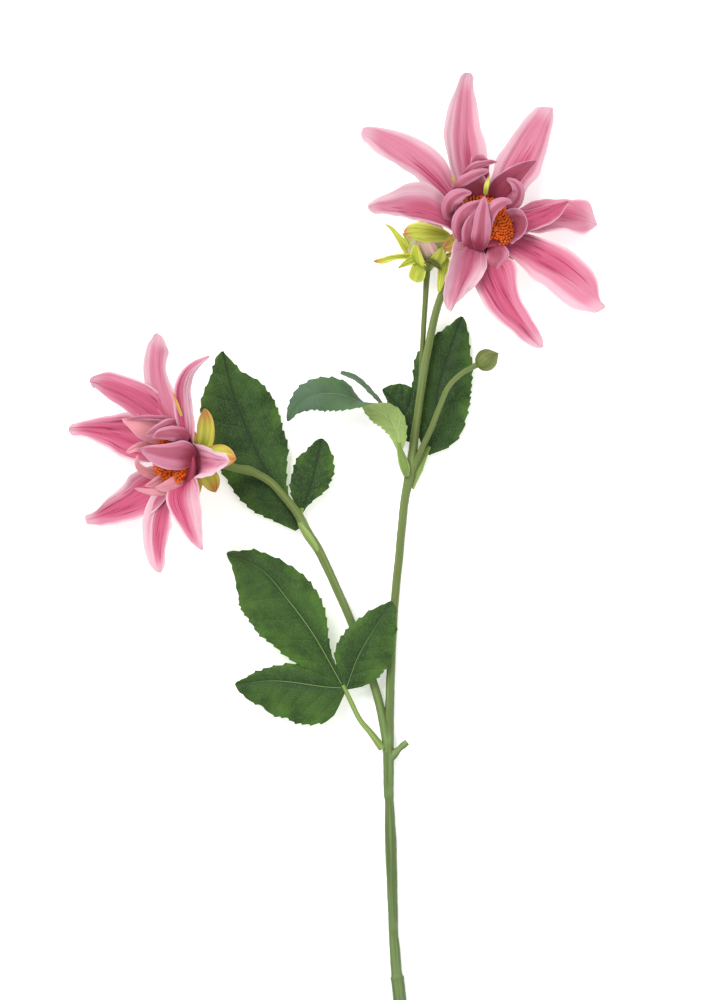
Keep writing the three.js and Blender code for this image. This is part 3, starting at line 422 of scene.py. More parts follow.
def half_width(along, side, shape):
    """The half-width in millimetres from the root (0) to the tip (1), by table or by rule."""
    table = shape.get("both", shape.get("right" if side else "left"))
    return shape["half"] * outline(along, shape) if table is None else smooth_table(along, table)


def outline(along, shape):
    """The half-width as a share of the widest, from the root (0) to the tip (1)."""
    widest, root_width = shape["widest"], shape["root_width"]
    rise = np.sin(math.pi / 2 * np.clip(along / widest, 0, 1)) ** 0.8
    fall = np.cos(math.pi / 2 * np.clip((along - widest) / (1 - widest), 0, 1)) ** shape["tip_power"]
    return np.where(along < widest, root_width + (1 - root_width) * rise, fall)


def tooth_cut(along, side, teeth, seed):
    """Millimetres by which forward-leaning teeth of uneven size stand out from a leaf's edge."""
    at = along * teeth + 0.35 * side + 0.3 * np.sin(along * 9 + side * 2 + seed)
    number, phase = np.floor(at), at % 1
    saw = np.where(phase < TOOTH_PEAK, (phase / TOOTH_PEAK) ** 1.7, (1 - phase) / (1 - TOOTH_PEAK))
    size = 1.0 + 0.4 * np.sin(number * 2.4 + seed * 1.3 + side)
    return TOOTH_DEPTH * size * (saw - 0.5) * smooth(along, 0.03, 0.12) * (1 - smooth(along, 0.95, 1))


def blade_frame(line, upper, shape, along):
    """The points of a blade's middle, its normals and sides there, and its length."""
    points, tangents, length = evenly(line, len(along) - 1)
    normals = carried(tangents, np.asarray(upper, float))
    if "face" in shape:
        share = (shape["face"] * smooth(along, *shape.get("face_span", (0, 0.35))))[:, None]
        normals = normals * (1 - share) + share * np.array([0, 0, 1.0])
        normals = normals - (normals * tangents).sum(1)[:, None] * tangents
        normals = normals / np.linalg.norm(normals, axis=1)[:, None]
    rolls = math.radians(shape.get("twist", 0)) * smooth(along, *shape.get("twist_span", (0, 1)))
    normals = np.array([turned_about(n, t, a) for n, t, a in zip(normals, tangents, rolls)])
    return points, normals, np.cross(tangents, normals), length


def folded_half(along, spread, side, shape, seed):
    """One half of a blade, from its middle to its edge: the slope of its face and its widths."""
    half = np.maximum(half_width(along, side, shape), LEAST_HALF_WIDTH)
    fold = abs(pair(shape.get("fold", 20))[side])
    slope = np.radians(fold) * (half / half.max())[:, None] * spread[None, :]
    crease, angle = shape.get("crease", (0, 0))
    if crease * (1 if side else -1) > 0:
        envelope = smooth(along, 0.08, 0.3) * (1 - smooth(along, 0.8, 1))
        bend = smooth(spread, abs(crease) - CREASE_BLEND, abs(crease) + CREASE_BLEND)
        bent = slope + math.radians(angle) * envelope[:, None] * bend[None, :]
        half = half * np.cos(slope).mean(1) / np.cos(bent).mean(1)
        slope = bent
    widths = half[:, None] * np.ones(len(spread))[None, :]
    if "teeth" in shape:
        cut = tooth_cut(along, side, shape["teeth"], seed) * np.minimum(half / TOOTH_FULL_WIDTH, 1)
        widths = widths + cut[:, None] * smooth(spread, 0.5, 1.0)[None, :]
    return slope, widths


def blade(line, upper, shape, rows, columns, thickness, relief, seed):
    """A closed thin blade along a line, whose upper side is turned towards upper at the root."""
    along, across = np.linspace(0, 1, rows + 1), np.linspace(-1, 1, columns + 1)
    points, normals, sides, length = blade_frame(line, upper, shape, along)
    half_columns = columns // 2
    spread = np.linspace(0, 1, half_columns + 1)
    middle = np.zeros((rows + 1, columns + 1, 3))
    facing = np.zeros_like(middle)
    reach = np.zeros((rows + 1, columns + 1))
    for side, sign in ((0, -1), (1, 1)):
        slope, widths = folded_half(along, spread, side, shape, seed)
        lift = -1 if pair(shape.get("fold", 20))[side] < 0 else 1
        mean = (slope[:, 1:] + slope[:, :-1]) / 2
        mean_width = (widths[:, 1:] + widths[:, :-1]) / 2
        out, up = (np.pad(np.cumsum(mean_width * share_of(mean) * np.diff(spread)[None, :], 1),
                          ((0, 0), (1, 0))) for share_of in (np.cos, np.sin))
        place = (points[:, None] + sign * sides[:, None] * out[..., None]
                 + lift * normals[:, None] * up[..., None])
        face = (normals[:, None] * np.cos(slope)[..., None]
                - sign * lift * sides[:, None] * np.sin(slope)[..., None])
        order = range(half_columns, columns + 1) if sign > 0 else range(half_columns, -1, -1)
        for index, column in enumerate(order):
            middle[:, column] = place[:, index]
            facing[:, column] = face[:, index]
            reach[:, column] = sign * widths[:, index] * spread[index]
    if relief:
        middle = middle + facing * relief(along[:, None], across[None, :], reach, length)[..., None]
    middle[..., 2] = np.maximum(middle[..., 2], thickness)
    thin = thickness * (EDGE_THICKNESS + (1 - EDGE_THICKNESS) * (1 - np.abs(across) ** 6))[None, :, None]
    top = middle + facing * thin / 2
    bottom = middle - facing * thin / 2
    grid_along, grid_across = np.meshgrid(along, across, indexing="ij")
    if "teeth" in shape:
        pale, deep = (np.full_like(reach, shape.get(key, 0)) for key in ("bluish", "light_rib"))
    else:
        pale, deep = margins(along[:, None], across[None, :], shape)
    layers = {"along": grid_along, "across": grid_across, "run": grid_along * length / LAYER_UNIT,
              "reach": reach / LAYER_UNIT, "length": np.full_like(reach, length / LAYER_UNIT), "pale": pale,
              "deep": deep, "seed": np.full_like(reach, (seed * SEED_SPREAD) % 1),
              "dusky": np.full_like(reach, shape.get("dusky", 0))}
    return shell(top, bottom, layers)


def margins(along, across, shape):
    """How pale and how deep in colour a petal is: pale edges and tip, and a band from its root."""
    left, right = shape.get("pale", (0.3, 0.3))
    inner = np.where(across < 0, 1 - left, 1 - right)
    side = smooth(np.abs(across), inner - 0.12, inner + 0.3)
    pale = np.maximum(side * (0.35 + 0.65 * smooth(along, 0.1, 0.5)), 0.75 * smooth(along, 0.78, 1))
    centre, spread, top = shape.get("deep", (0, 0.6, 0.6))
    narrowing = spread * (1.15 - 0.75 * np.clip(along / top, 0, 1))
    off = np.abs(across - centre * smooth(along, 0, 0.4)) / np.maximum(narrowing, 0.05)
    deep = (1 - smooth(off, 0.25, 1.2)) * (1 - smooth(along, top - 0.35, top + 0.12))
    return pale, deep


def shell(top, bottom, layers):
    """The closed skin of two like grids of points. The layers hold one value a point."""
    rows, columns = top.shape[0] - 1, top.shape[1] - 1
    stride = columns + 1
    count = top.shape[0] * stride
    r, c = np.meshgrid(np.arange(rows), np.arange(columns), indexing="ij")
    corner = (r * stride + c).ravel()
    face_up = np.stack([corner, corner + 1, corner + stride + 1, corner + stride], 1)
    face_down = face_up[:, ::-1] + count
    first = np.arange(rows) * stride
    last = first + columns
    left = np.stack([first, first + stride, first + stride + count, first + count], 1)
    right = np.stack([last + stride, last, last + count, last + stride + count], 1)
    near = np.arange(columns)
    far = near + rows * stride
    root = np.stack([near + 1, near, near + count, near + 1 + count], 1)
    tip = np.stack([far, far + 1, far + 1 + count, far + count], 1)
    doubled = {name: np.tile(values.ravel(), 2) for name, values in layers.items()}
    doubled["underside"] = np.repeat([0.0, 1.0], count)
    return {"points": np.vstack([top.reshape(-1, 3), bottom.reshape(-1, 3)]),
            "faces": np.vstack([face_up, face_down, left, right, root, tip]).tolist(), "layers": doubled}


def petal(stand, root_radius, root_height, shape, *size):
    """A blade from its place on the stand to its tip, with its upper side towards the stand's axis."""
    root = stand.place(shape["turn"], root_radius, root_height)
    tip = np.array(shape["tip"], float)
    start = stand.direction(shape["turn"], shape["rise"])
    upper = stand.direction(shape["turn"], shape["rise"] + 90)
    right = np.cross(start, upper)
    distance = np.linalg.norm(tip - root)
    bend_at = root + start * distance * 0.5 + right * 2 * shape.get("bow", 0)
    return blade(bent_line(root, bend_at, tip), upper, shape, *size)


def facing_blade(rib, shape, *size):
    """A blade through the places of its rib that faces the camera all the way along."""
    return blade(through(rib), (0, 0, 1), {**shape, "face": 1, "face_span": (-1, 0)}, *size)


# Round bodies: stalks, cups, domes and buds

def ring_skin(rings, layers):
    """A closed skin through rings of points, with a fan over each end."""
    count, sides = rings.shape[:2]
    step, side = np.meshgrid(np.arange(count - 1), np.arange(sides), indexing="ij")
    low = step * sides
    following = (side + 1) % sides
    body = np.stack([low + side, low + following, low + sides + following, low + sides + side], -1)
    points = np.vstack([rings.reshape(-1, 3), rings[0].mean(0), rings[-1].mean(0)])
    turn = np.arange(sides)
    after = (turn + 1) % sides
    start = np.full(sides, count * sides)
    end_row = (count - 1) * sides
    fans = np.stack([start, after, turn], 1), np.stack([start + 1, end_row + turn, end_row + after], 1)
    faces = [face for group in (body.reshape(-1, 4), *fans) for face in group.tolist()]
    flat = {name: np.concatenate([values.ravel(), [values[0].mean(), values[-1].mean()]])
            for name, values in layers.items()}
    return {"points": points, "faces": faces, "layers": flat}


def stalk(places, sides, seed, ridges=5, ridge_depth=0.035):
    """A stalk through places (x, y, z, radius), with low ridges along it."""
    line = through(places, steps_each=40)
    at = np.linspace(0, len(places) - 1, len(line))
    radii = np.interp(at, np.arange(len(places)), [place[3] for place in places])
    radii = np.pad(radii, STALK_BLUR // 2, mode="edge")
    radii = np.convolve(radii, np.ones(STALK_BLUR) / STALK_BLUR, "valid")
    reach = distances(line)
    steps = max(int(reach[-1] / STALK_RING_GAP), 6)
    points, tangents, length = evenly(line, steps)
    thickness = np.interp(np.linspace(0, length, steps + 1), reach, radii)
    normals = carried(tangents, np.array([0.31, 0.2, 0.93]))
    sides_out = np.cross(tangents, normals)
    turn = np.linspace(0, 2 * math.pi, sides, endpoint=False)
    run = np.linspace(0, length, steps + 1)
    ridge = (np.cos(ridges * turn)[None, :] * ridge_depth
             + 0.02 * np.sin(run[:, None] * 0.35 + 3 * turn[None, :] + seed)
             + 0.012 * np.sin(run[:, None] * 1.1 + 2 * turn[None, :] + seed * 2))
    radius = thickness[:, None] * (1 + ridge)
    rings = (points[:, None] + normals[:, None] * (radius * np.cos(turn))[..., None]
             + sides_out[:, None] * (radius * np.sin(turn))[..., None])
    ones = np.ones_like(radius)
    layers = {"along": ones * np.linspace(0, 1, steps + 1)[:, None], "across": ones * np.cos(turn)[None, :],
              "reach": ones * np.sin(turn)[None, :], "run": ones * run[:, None] / LAYER_UNIT,
              "seed": ones * ((seed * SEED_SPREAD) % 1), "length": ones * length / LAYER_UNIT}
    return ring_skin(rings, layers)


def turned_body(stand, profile, sides, lobes=0, step=0.0, swirl=0.0, steps=60):
    """A body turned about the stand's axis from its profile of (radius, height), then raised in lobes."""
    profile = np.array(profile, float)
    line = through(np.pad(profile, ((0, 0), (0, 1))), steps_each=24)[:, :2]
    line[:, 0] = np.maximum(line[:, 0], 0.02)
    reach = distances(line)
    at = np.linspace(0, reach[-1], steps + 1)
    radius = np.interp(at, reach, line[:, 0])[:, None]
    height = np.interp(at, reach, line[:, 1])[:, None]
    turn = np.linspace(0, 2 * math.pi, sides, endpoint=False)[None, :]
    lobe = (turn + swirl * height) * lobes / (2 * math.pi)
    phase = lobe % 1
    swell = 1 + step * (phase - 0.5) * (1 - smooth(phase, 0.94, 1.0)) - step * 0.5 * smooth(phase, 0.94, 1.0)
    if not lobes:
        swell, phase = np.ones_like(phase), phase * 0 + 0.5
    local = np.stack([radius * swell * np.cos(turn), radius * swell * np.sin(turn),
                      height * np.ones_like(turn)], -1)
    ones = np.ones(local.shape[:2])
    layers = {"along": ones * np.linspace(0, 1, steps + 1)[:, None], "across": 2 * phase * ones - 1,
              "run": ones * at[:, None] / LAYER_UNIT, "reach": ones * radius * np.sin(turn) / LAYER_UNIT,
              "seed": np.floor(lobe) * 0.37 * ones % 1, "length": ones * reach[-1] / LAYER_UNIT}
    return ring_skin(stand.out(local), layers)


# Pieces: parts are gathered in one mesh, which rides on the root body and stands for its node

LAYERS = ("along", "across", "run", "reach", "length", "pale", "deep", "dusky", "seed", "underside")


def make_piece(name, parts, material, node, sharp_over=50):
    """One mesh of all the parts. Edges that bend by more than sharp_over degrees stay sharp."""
    faces, offset = [], 0
    for part in parts:
        faces += [[corner + offset for corner in face] for face in part["faces"]]
        offset += len(part["points"])
    places = (np.vstack([part["points"] for part in parts]) + LAYOUT_SHIFT) * MILLIMETRE
    mesh = bpy.data.meshes.new(name)
    mesh.from_pydata(places.tolist(), [], faces)
    for layer in LAYERS:
        values = [part["layers"].get(layer, np.zeros(len(part["points"]))) for part in parts]
        held = mesh.attributes.new(layer, "FLOAT", "POINT")
        held.data.foreach_set("value", np.concatenate(values).astype(np.float32))
    mesh.shade_smooth()
    mesh.set_sharp_from_angle(angle=math.radians(sharp_over))
    mesh.materials.append(material)
    piece = bpy.data.objects.new(name, mesh)
    bpy.context.scene.collection.objects.link(piece)
    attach(piece, "root")
    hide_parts(node)


def blacken(part, share=1.0):
    """Darkens a whole part, because it lies in the shade of its petals."""
    part["layers"]["dusky"] = np.full(len(part["points"]), share)


# Materials

class Nodes:
    """Adds nodes to one tree and links them."""

    def __init__(self, tree):
        self.tree = tree

    def add(self, kind, inputs=(), **settings):
        node = self.tree.nodes.new(kind)
        for name, value in settings.items():
            setattr(node, name, value)
        for key, value in dict(inputs).items():
            self.feed(node.inputs[key], value)
        return node

    def feed(self, socket, value):
        """Links the socket or sets its value. A tone of three values is opaque."""
        if isinstance(value, bpy.types.NodeSocket):
            self.tree.links.new(value, socket)
        else:
            socket.default_value = (*value, 1.0) if socket.type == "RGBA" else value

    def layer(self, name):
        return self.add("ShaderNodeAttribute", attribute_name=name).outputs["Fac"]

    def maths(self, operation, *values, clamp=False):
        node = self.add("ShaderNodeMath", operation=operation, use_clamp=clamp)
        for socket, value in zip(node.inputs, values):
            self.feed(socket, value)
        return node.outputs[0]

    plus = functools.partialmethod(maths, "ADD")
    minus = functools.partialmethod(maths, "SUBTRACT")
    times = functools.partialmethod(maths, "MULTIPLY")
    over = functools.partialmethod(maths, "DIVIDE")
    least = functools.partialmethod(maths, "MINIMUM")
    most = functools.partialmethod(maths, "MAXIMUM")
    size = functools.partialmethod(maths, "ABSOLUTE")
    sine = functools.partialmethod(maths, "SINE")

    def between(self, value, low, high, start=0.0, end=1.0):
        node = self.add("ShaderNodeMapRange", interpolation_type="SMOOTHSTEP")
        for name, given in (("Value", value), ("From Min", low), ("From Max", high), ("To Min", start),
                            ("To Max", end)):
            self.feed(node.inputs[name], given)
        return node.outputs["Result"]

    def mix(self, factor, first, second):
        node = self.add("ShaderNodeMix", data_type="RGBA")
        for index, given in ((0, factor), (6, first), (7, second)):
            self.feed(node.inputs[index], given)
        return node.outputs[2]

    def place(self, x, y, z):
        return self.add("ShaderNodeCombineXYZ", {"X": x, "Y": y, "Z": z}).outputs[0]

    def noise(self, vector, scale=1.0, detail=2.0, roughness=0.5):
        node = self.add("ShaderNodeTexNoise", {"Vector": vector, "Scale": scale, "Detail": detail,
                                               "Roughness": roughness})
        return node.outputs["Fac"]

    def group(self, tree, **values):
        """Adds a group and gives its outputs. A socket without a value reads the layer of its own name."""
        node = self.add("ShaderNodeGroup", node_tree=tree)
        for socket in node.inputs:
            name = socket.name.lower()
            self.feed(socket, values[name] if name in values else self.layer(name))
        return node.outputs


def node_group(name, inputs, outputs, fill):
    """A group of float sockets, built once. fill(nodes, ins) gives the outputs' sockets in order."""
    if name in bpy.data.node_groups:
        return bpy.data.node_groups[name]
    tree = bpy.data.node_groups.new(name, "ShaderNodeTree")
    for socket, default in inputs:
        made = tree.interface.new_socket(socket, in_out="INPUT", socket_type="NodeSocketFloat")
        made.default_value = default
    for socket in outputs:
        tree.interface.new_socket(socket, in_out="OUTPUT", socket_type="NodeSocketFloat")
    nodes = Nodes(tree)
    given = tree.nodes.new("NodeGroupInput").outputs
    taken = tree.nodes.new("NodeGroupOutput").inputs
    for socket, value in zip(taken, fill(nodes, given)):
        nodes.feed(socket, value)
    return tree


def petal_pattern():
    """Stripes, rose band, pale margin, throat and fine relief of a petal, from its own coordinates."""
    def fill(nodes, ins):
        along, across = ins["Along"], ins["Across"]
        shift = nodes.times(ins["Seed"], 41.0)
        drift = nodes.noise(nodes.place(nodes.times(across, ins["Stripes"]), nodes.times(along, 0.8), shift),
                            1.0, 1.0)
        contour = nodes.size(nodes.minus(drift, 0.5))
        line = nodes.between(contour, 0.008, 0.03, 1.0, 0.0)
        wide = nodes.place(nodes.times(across, 2.2), nodes.times(along, 1.6), nodes.plus(shift, 7.3))
        patch = nodes.noise(wide, 1.3, 1.0)
        fine = nodes.noise(nodes.place(nodes.times(across, 38.0), nodes.times(along, 2.4), shift))
        uneven = nodes.times(nodes.minus(fine, 0.5), 0.9)
        stripe = nodes.times(nodes.times(line, nodes.between(patch, 0.3, 0.5)),
                             nodes.between(ins["Deep"], 0.03, 0.35))
        band = nodes.between(nodes.plus(ins["Deep"], uneven), 0.1, 0.95)
        pale = nodes.between(nodes.plus(ins["Pale"], uneven), 0.1, 0.9)
        throat = nodes.between(nodes.plus(along, nodes.times(uneven, 0.6)), 0.02, 0.3, 1.0, 0.0)
        return stripe, band, pale, throat, fine
    return node_group("petal_pattern",
                      [("Along", 0.0), ("Across", 0.0), ("Seed", 0.0), ("Pale", 0.0), ("Deep", 0.0),
                       ("Stripes", 5.0)],
                      ["Stripe", "Band", "Pale", "Throat", "Fine"], fill)


def leaf_pattern():
    """Side veins, midrib, fine veins, blotches, the painted shade in the valley along the midrib and grain of
    a leaflet, from distances over it.
    """
    def fill(nodes, ins):
        run, reach, length = ins["Run"], ins["Reach"], ins["Length"]
        off = nodes.size(reach)
        waver = nodes.noise(nodes.place(run, reach, ins["Seed"]), 9.0)
        waver = nodes.times(nodes.minus(waver, 0.5), 0.03)
        forward = nodes.minus(nodes.plus(run, waver), nodes.times(off, VEIN_SLOPE))
        cell = nodes.times(nodes.over(forward, length), ins["Veins"])
        phase = nodes.maths("FRACT", nodes.plus(cell, 10.0))
        nearest = nodes.least(phase, nodes.minus(1.0, phase))
        gap = nodes.times(nodes.over(nearest, ins["Veins"]), length)
        vein = nodes.between(gap, 0.0008, 0.004, 1.0, 0.0)
        midrib = nodes.between(off, 0.002, 0.008, 1.0, 0.0)
        share = nodes.over(run, length)
        line = nodes.times(nodes.between(off, 0.0006, 0.003, 1.0, 0.0),
                           nodes.between(share, 0.4, 0.95, 1.0, 0.25))
        # Painted shade in the valley along the midrib, fading towards the tip, and painted shade at the
        # leaflet's base
        valley = nodes.times(nodes.between(off, 0.0, 0.05, 1.0, 0.0),
                             nodes.between(share, 0.3, 1.0, 1.0, 0.3))
        valley = nodes.most(valley, nodes.between(share, 0.0, 0.25, 0.9, 0.0))
        grain = nodes.noise(nodes.place(run, reach, ins["Seed"]), 150.0, 2.0, 0.7)
        close = nodes.minus(nodes.plus(run, waver), nodes.times(off, 1.25))
        ripple = nodes.sine(nodes.times(close, 640.0))
        cross = nodes.sine(nodes.times(nodes.plus(off, waver), 420.0))
        weave = nodes.plus(nodes.times(ripple, 0.35), nodes.times(cross, 0.2))
        patch = nodes.noise(nodes.place(run, reach, ins["Seed"]), 34.0, 3.0, 0.6)
        weave = nodes.plus(nodes.times(weave, nodes.between(patch, 0.38, 0.66)), 0.5)
        blotch = nodes.noise(nodes.place(run, reach, nodes.times(ins["Seed"], 9.0)), 7.0, 3.0)
        return vein, midrib, line, weave, blotch, valley, grain
    return node_group("leaf_pattern",
                      [("Run", 0.0), ("Reach", 0.0), ("Length", 1.0), ("Seed", 0.0), ("Veins", SIDE_VEINS)],
                      ["Vein", "Midrib", "Line", "Weave", "Blotch", "Valley", "Grain"], fill)


def streak_pattern():
    """Streaks that run lengthwise, wide patches and fine relief of a stalk, a sepal or a bud."""
    def fill(nodes, ins):
        seed = nodes.times(ins["Seed"], 23.0)
        place = nodes.place(nodes.times(ins["Across"], ins["Stretch"]),
                            nodes.plus(nodes.times(ins["Reach"], ins["Stretch"]), seed),
                            nodes.times(ins["Run"], 6.0))
        return nodes.noise(place, 1.0, 3.0, 0.6), nodes.noise(place, 0.35), nodes.noise(place, 4.0, 2.0, 0.6)
    return node_group("streak_pattern",
                      [("Across", 0.0), ("Reach", 0.0), ("Run", 0.0), ("Seed", 0.0), ("Stretch", 5.0)],
                      ["Streaks", "Patches", "Fine"], fill)


def new_material(name, roughness, subsurface=0.0):
    """A material, its nodes and its shader. subsurface is how much light passes through thin parts."""
    material = bpy.data.materials.new(name)
    material.use_nodes = True
    nodes = Nodes(material.node_tree)
    shader = material.node_tree.nodes["Principled BSDF"]
    shader.inputs["Roughness"].default_value = roughness
    shader.inputs["Specular IOR Level"].default_value = 0.35
    if subsurface:
        shader.inputs["Subsurface Weight"].default_value = subsurface
        shader.inputs["Subsurface Radius"].default_value = (1.0, 0.45, 0.4)
        shader.inputs["Subsurface Scale"].default_value = 0.0006
    return material, nodes, shader


def finish_material(nodes, shader, tone, height, bump_depth, strength, roughness):
    """Feeds the shader. roughness is a value with the spans that nodes.between takes."""
    bump = nodes.add("ShaderNodeBump", {"Height": height, "Distance": bump_depth, "Strength": strength})
    nodes.feed(shader.inputs["Base Color"], tone)
    nodes.feed(shader.inputs["Normal"], bump.outputs["Normal"])
    nodes.feed(shader.inputs["Roughness"], nodes.between(*roughness))


def colour(red, green, blue):
    """A screen colour, 0 to 255, as the linear colour that a shader takes."""
    def linear(value):
        value /= 255
        return value / 12.92 if value <= 0.04045 else ((value + 0.055) / 1.055) ** 2.4
    return (linear(red), linear(green), linear(blue))


def petal_material(name, tones, stripes, stripe_share, rim_share):
    material, nodes, shader = new_material(name, 0.55, 0.12)
    stripe, band, pale, throat, fine = nodes.group(petal_pattern(), stripes=stripes)
    tone = nodes.mix(pale, tones.middle, tones.pale)
    tone = nodes.mix(nodes.times(band, 0.82), tone, tones.rose)
    tone = nodes.mix(nodes.times(throat, 0.75), tone, tones.throat)
    tone = nodes.mix(nodes.times(stripe, stripe_share), tone, tones.deep)
    tone = nodes.mix(nodes.between(fine, 0.4, 0.72, 0.0, 0.34), tone, tones.rose)
    dusk = nodes.times(nodes.most(nodes.layer("dusky"), 0.0), 0.8)
    tone = nodes.mix(dusk, tone, tones.throat)
    blush = nodes.between(nodes.layer("dusky"), -1.0, 0.0, 1.0, 0.0)
    tone = nodes.mix(blush, tone, tones.light)
    # Lighter rim along the edges: on the ray petals their own whitish edge with a painted highlight along it,
    # on the inner petals a painted lilac sheen
    edge = nodes.between(nodes.size(nodes.layer("across")), 0.86, 1.0, 0.0, rim_share)
    tone = nodes.mix(edge, tone, tones.rim)
    behind = nodes.times(nodes.layer("underside"), 0.75)
    tone = nodes.mix(behind, tone, tones.back)
    finish_material(nodes, shader, tone, fine, 0.00025, 0.7, (fine, 0.2, 0.8, 0.48, 0.66))
    return material


def leaf_material(name, tones):
    material, nodes, shader = new_material(name, 0.6, 0.05)
    shader.inputs["Specular IOR Level"].default_value = 0.22
    vein, midrib, line, weave, blotch, valley, grain = nodes.group(leaf_pattern(), veins=SIDE_VEINS)
    edge = nodes.between(nodes.size(nodes.layer("across")), 0.35, 1.0)
    light = nodes.times(nodes.between(blotch, 0.3, 0.66), nodes.between(edge, 0.0, 1.0, 0.4, 1.0))
    light = nodes.plus(light, nodes.times(nodes.layer("deep"), 0.22), clamp=True)
    tone = nodes.mix(light, tones.dark, tones.light)
    tone = nodes.mix(nodes.between(weave, 0.5, 0.95, 0.0, 0.26), tone, tones.vein)
    # Painted shade: the dark midrib green laid into the valley along the midrib and at the leaflet's base
    tone = nodes.mix(nodes.times(valley, 0.55), tone, tones.rib)
    bluish = nodes.layer("pale")
    cloudy = nodes.times(bluish, nodes.between(blotch, 0.42, 0.58, 0.9, 0.5))
    tone = nodes.mix(cloudy, tone, tones.bluish)
    tone = nodes.mix(nodes.between(grain, 0.48, 0.72, 0.0, 0.42), tone, tones.vein)
    tone = nodes.mix(nodes.times(vein, 0.22), tone, tones.vein)
    # Painted shade in the midrib's groove, weaker on the bluish leaf
    groove = nodes.between(bluish, 0.0, 1.0, 0.7, 0.15)
    tone = nodes.mix(nodes.times(midrib, groove), tone, tones.rib)
    tone = nodes.mix(nodes.times(line, nodes.layer("deep")), tone, tones.light_rib)
    behind = nodes.times(nodes.layer("underside"), 0.85)
    tone = nodes.mix(behind, tone, tones.back)
    net = nodes.most(nodes.most(vein, line), nodes.between(grain, 0.5, 0.75))
    tone = nodes.mix(nodes.times(net, nodes.times(behind, 0.6)), tone, tones.back_vein)
    relief = nodes.minus(nodes.times(weave, 0.35), vein)
    finish_material(nodes, shader, tone, relief, 0.0003, 0.6, (weave, 0.1, 0.9, 0.66, 0.54))
    return material


def streaked_material(name, base, streak, light, stretch=5.0, roughness=0.5, rim=None):
    """Streaks that run lengthwise and a lighter tone in patches. rim gives a tone for the rim and the tip,
    how strong the rim is and from which share of the length the tip begins."""
    material, nodes, shader = new_material(name, roughness, 0.05)
    streaks, patches, fine = nodes.group(streak_pattern(), stretch=stretch)
    tone = nodes.mix(nodes.between(streaks, 0.38, 0.68), base, streak)
    tone = nodes.mix(nodes.between(patches, 0.4, 0.7), tone, light)
    tone = nodes.mix(nodes.times(nodes.layer("deep"), 0.6), tone, streak)
    tone = nodes.mix(nodes.times(nodes.layer("pale"), 0.6), tone, light)
    tone = nodes.mix(nodes.layer("dusky"), tone, (0.016, 0.04, 0.012))
    if rim:
        rim_tone, rim_share, tip_from = rim
        edge = nodes.between(nodes.size(nodes.layer("across")), 0.7, 1.0)
        point = nodes.between(nodes.layer("along"), tip_from, 1.0)
        ends = nodes.most(nodes.times(edge, rim_share), point)
        spread = nodes.times(ends, nodes.between(streaks, 0.26, 0.54))
        tone = nodes.mix(spread, tone, rim_tone)
    finish_material(nodes, shader, tone, fine, 0.0002, 0.5,
                    (fine, 0.3, 0.7, roughness - 0.06, roughness + 0.1))
    return material


def floret_material(tones):
    material, nodes, shader = new_material("disc_florets", 0.6, 0.1)
    along, seed = nodes.layer("along"), nodes.layer("seed")
    # Painted shade: each floret turns to the dark shadow tone towards its root, down between the florets
    tone = nodes.mix(nodes.between(along, 0.35, 0.85), tones.shadow, tones.middle)
    bright = nodes.times(nodes.between(along, 0.8, 1.0), nodes.between(seed, 0.2, 0.9))
    tone = nodes.mix(bright, tone, tones.tip)
    grain = nodes.noise(nodes.place(nodes.times(seed, 50.0), nodes.layer("across"), along), 6.0)
    finish_material(nodes, shader, tone, grain, 0.0002, 0.5, (grain, 0.3, 0.7, 0.5, 0.75))
    return material


# Settings that a user would change

def tone_property(name, description, red, green, blue):
    return bpy.props.FloatVectorProperty(name=name, description=description, subtype="COLOR", size=3,
                                         min=0, max=1, default=colour(red, green, blue))


def length_property(name, description, millimetres):
    return bpy.props.FloatProperty(name=name, description=description, unit="LENGTH", min=0, precision=5,
                                   default=millimetres * MILLIMETRE)


def count_property(name, description, default, least):
    return bpy.props.IntProperty(name=name, description=description, default=default, min=least)


class RaySettings(bpy.types.PropertyGroup):
    rows: count_property("Rows", "Faces along each ray petal", 72, 8)
    columns: count_property("Columns", "Faces across each ray petal", 28, 4)
    thickness: length_property("Thickness", "Thickness of a ray petal", 0.5)
    pleat: length_property("Pleat depth", "Depth of the channels that run along a ray petal", 0.9)
    wave: length_property("Edge wave", "How far the edges wave", 0.55)
    pale: tone_property("Pale", "Pale pink of the margins and tip", 218, 178, 190)
    middle: tone_property("Middle", "Pink of the petal", 203, 124, 148)
    rose: tone_property("Rose", "Rose of the band from the root", 185, 70, 105)
    deep: tone_property("Deep", "Dark rose of the stripes", 146, 30, 74)
    throat: tone_property("Throat", "Rose at the root", 168, 56, 86)
    # The rays' whitish rim is partly their own pale edge and partly a painted highlight
    rim: tone_property("Rim", "Whitish pink of the edges", 230, 198, 206)
    light: tone_property("Light", "Whitish lilac of the palest petals", 222, 186, 204)
    back: tone_property("Back", "Pink of the back", 212, 164, 180)


class InnerSettings(bpy.types.PropertyGroup):
    rows: count_property("Rows", "Faces along each inner petal", 44, 6)
    columns: count_property("Columns", "Faces across each inner petal", 24, 4)
    thickness: length_property("Thickness", "Thickness of an inner petal", 0.55)
    pleat: length_property("Pleat depth", "Depth of the channels that run along an inner petal", 0.22)
    pale: tone_property("Pale", "Pinkish mauve of the outer parts", 194, 125, 149)
    middle: tone_property("Middle", "Mauve of the petal", 164, 84, 105)
    rose: tone_property("Rose", "Rose of the band from the root", 146, 58, 80)
    deep: tone_property("Deep", "Rose of the veins", 118, 42, 66)
    throat: tone_property("Throat", "Rose at the root", 148, 54, 76)
    # The lilac rim of the inner petals is a painted sheen along their edges
    rim: tone_property("Rim", "Lilac of the edges", 210, 164, 192)
    light: tone_property("Light", "Peach pink of the outermost small petals", 222, 148, 152)
    back: tone_property("Back", "Mauve of the back", 168, 102, 130)


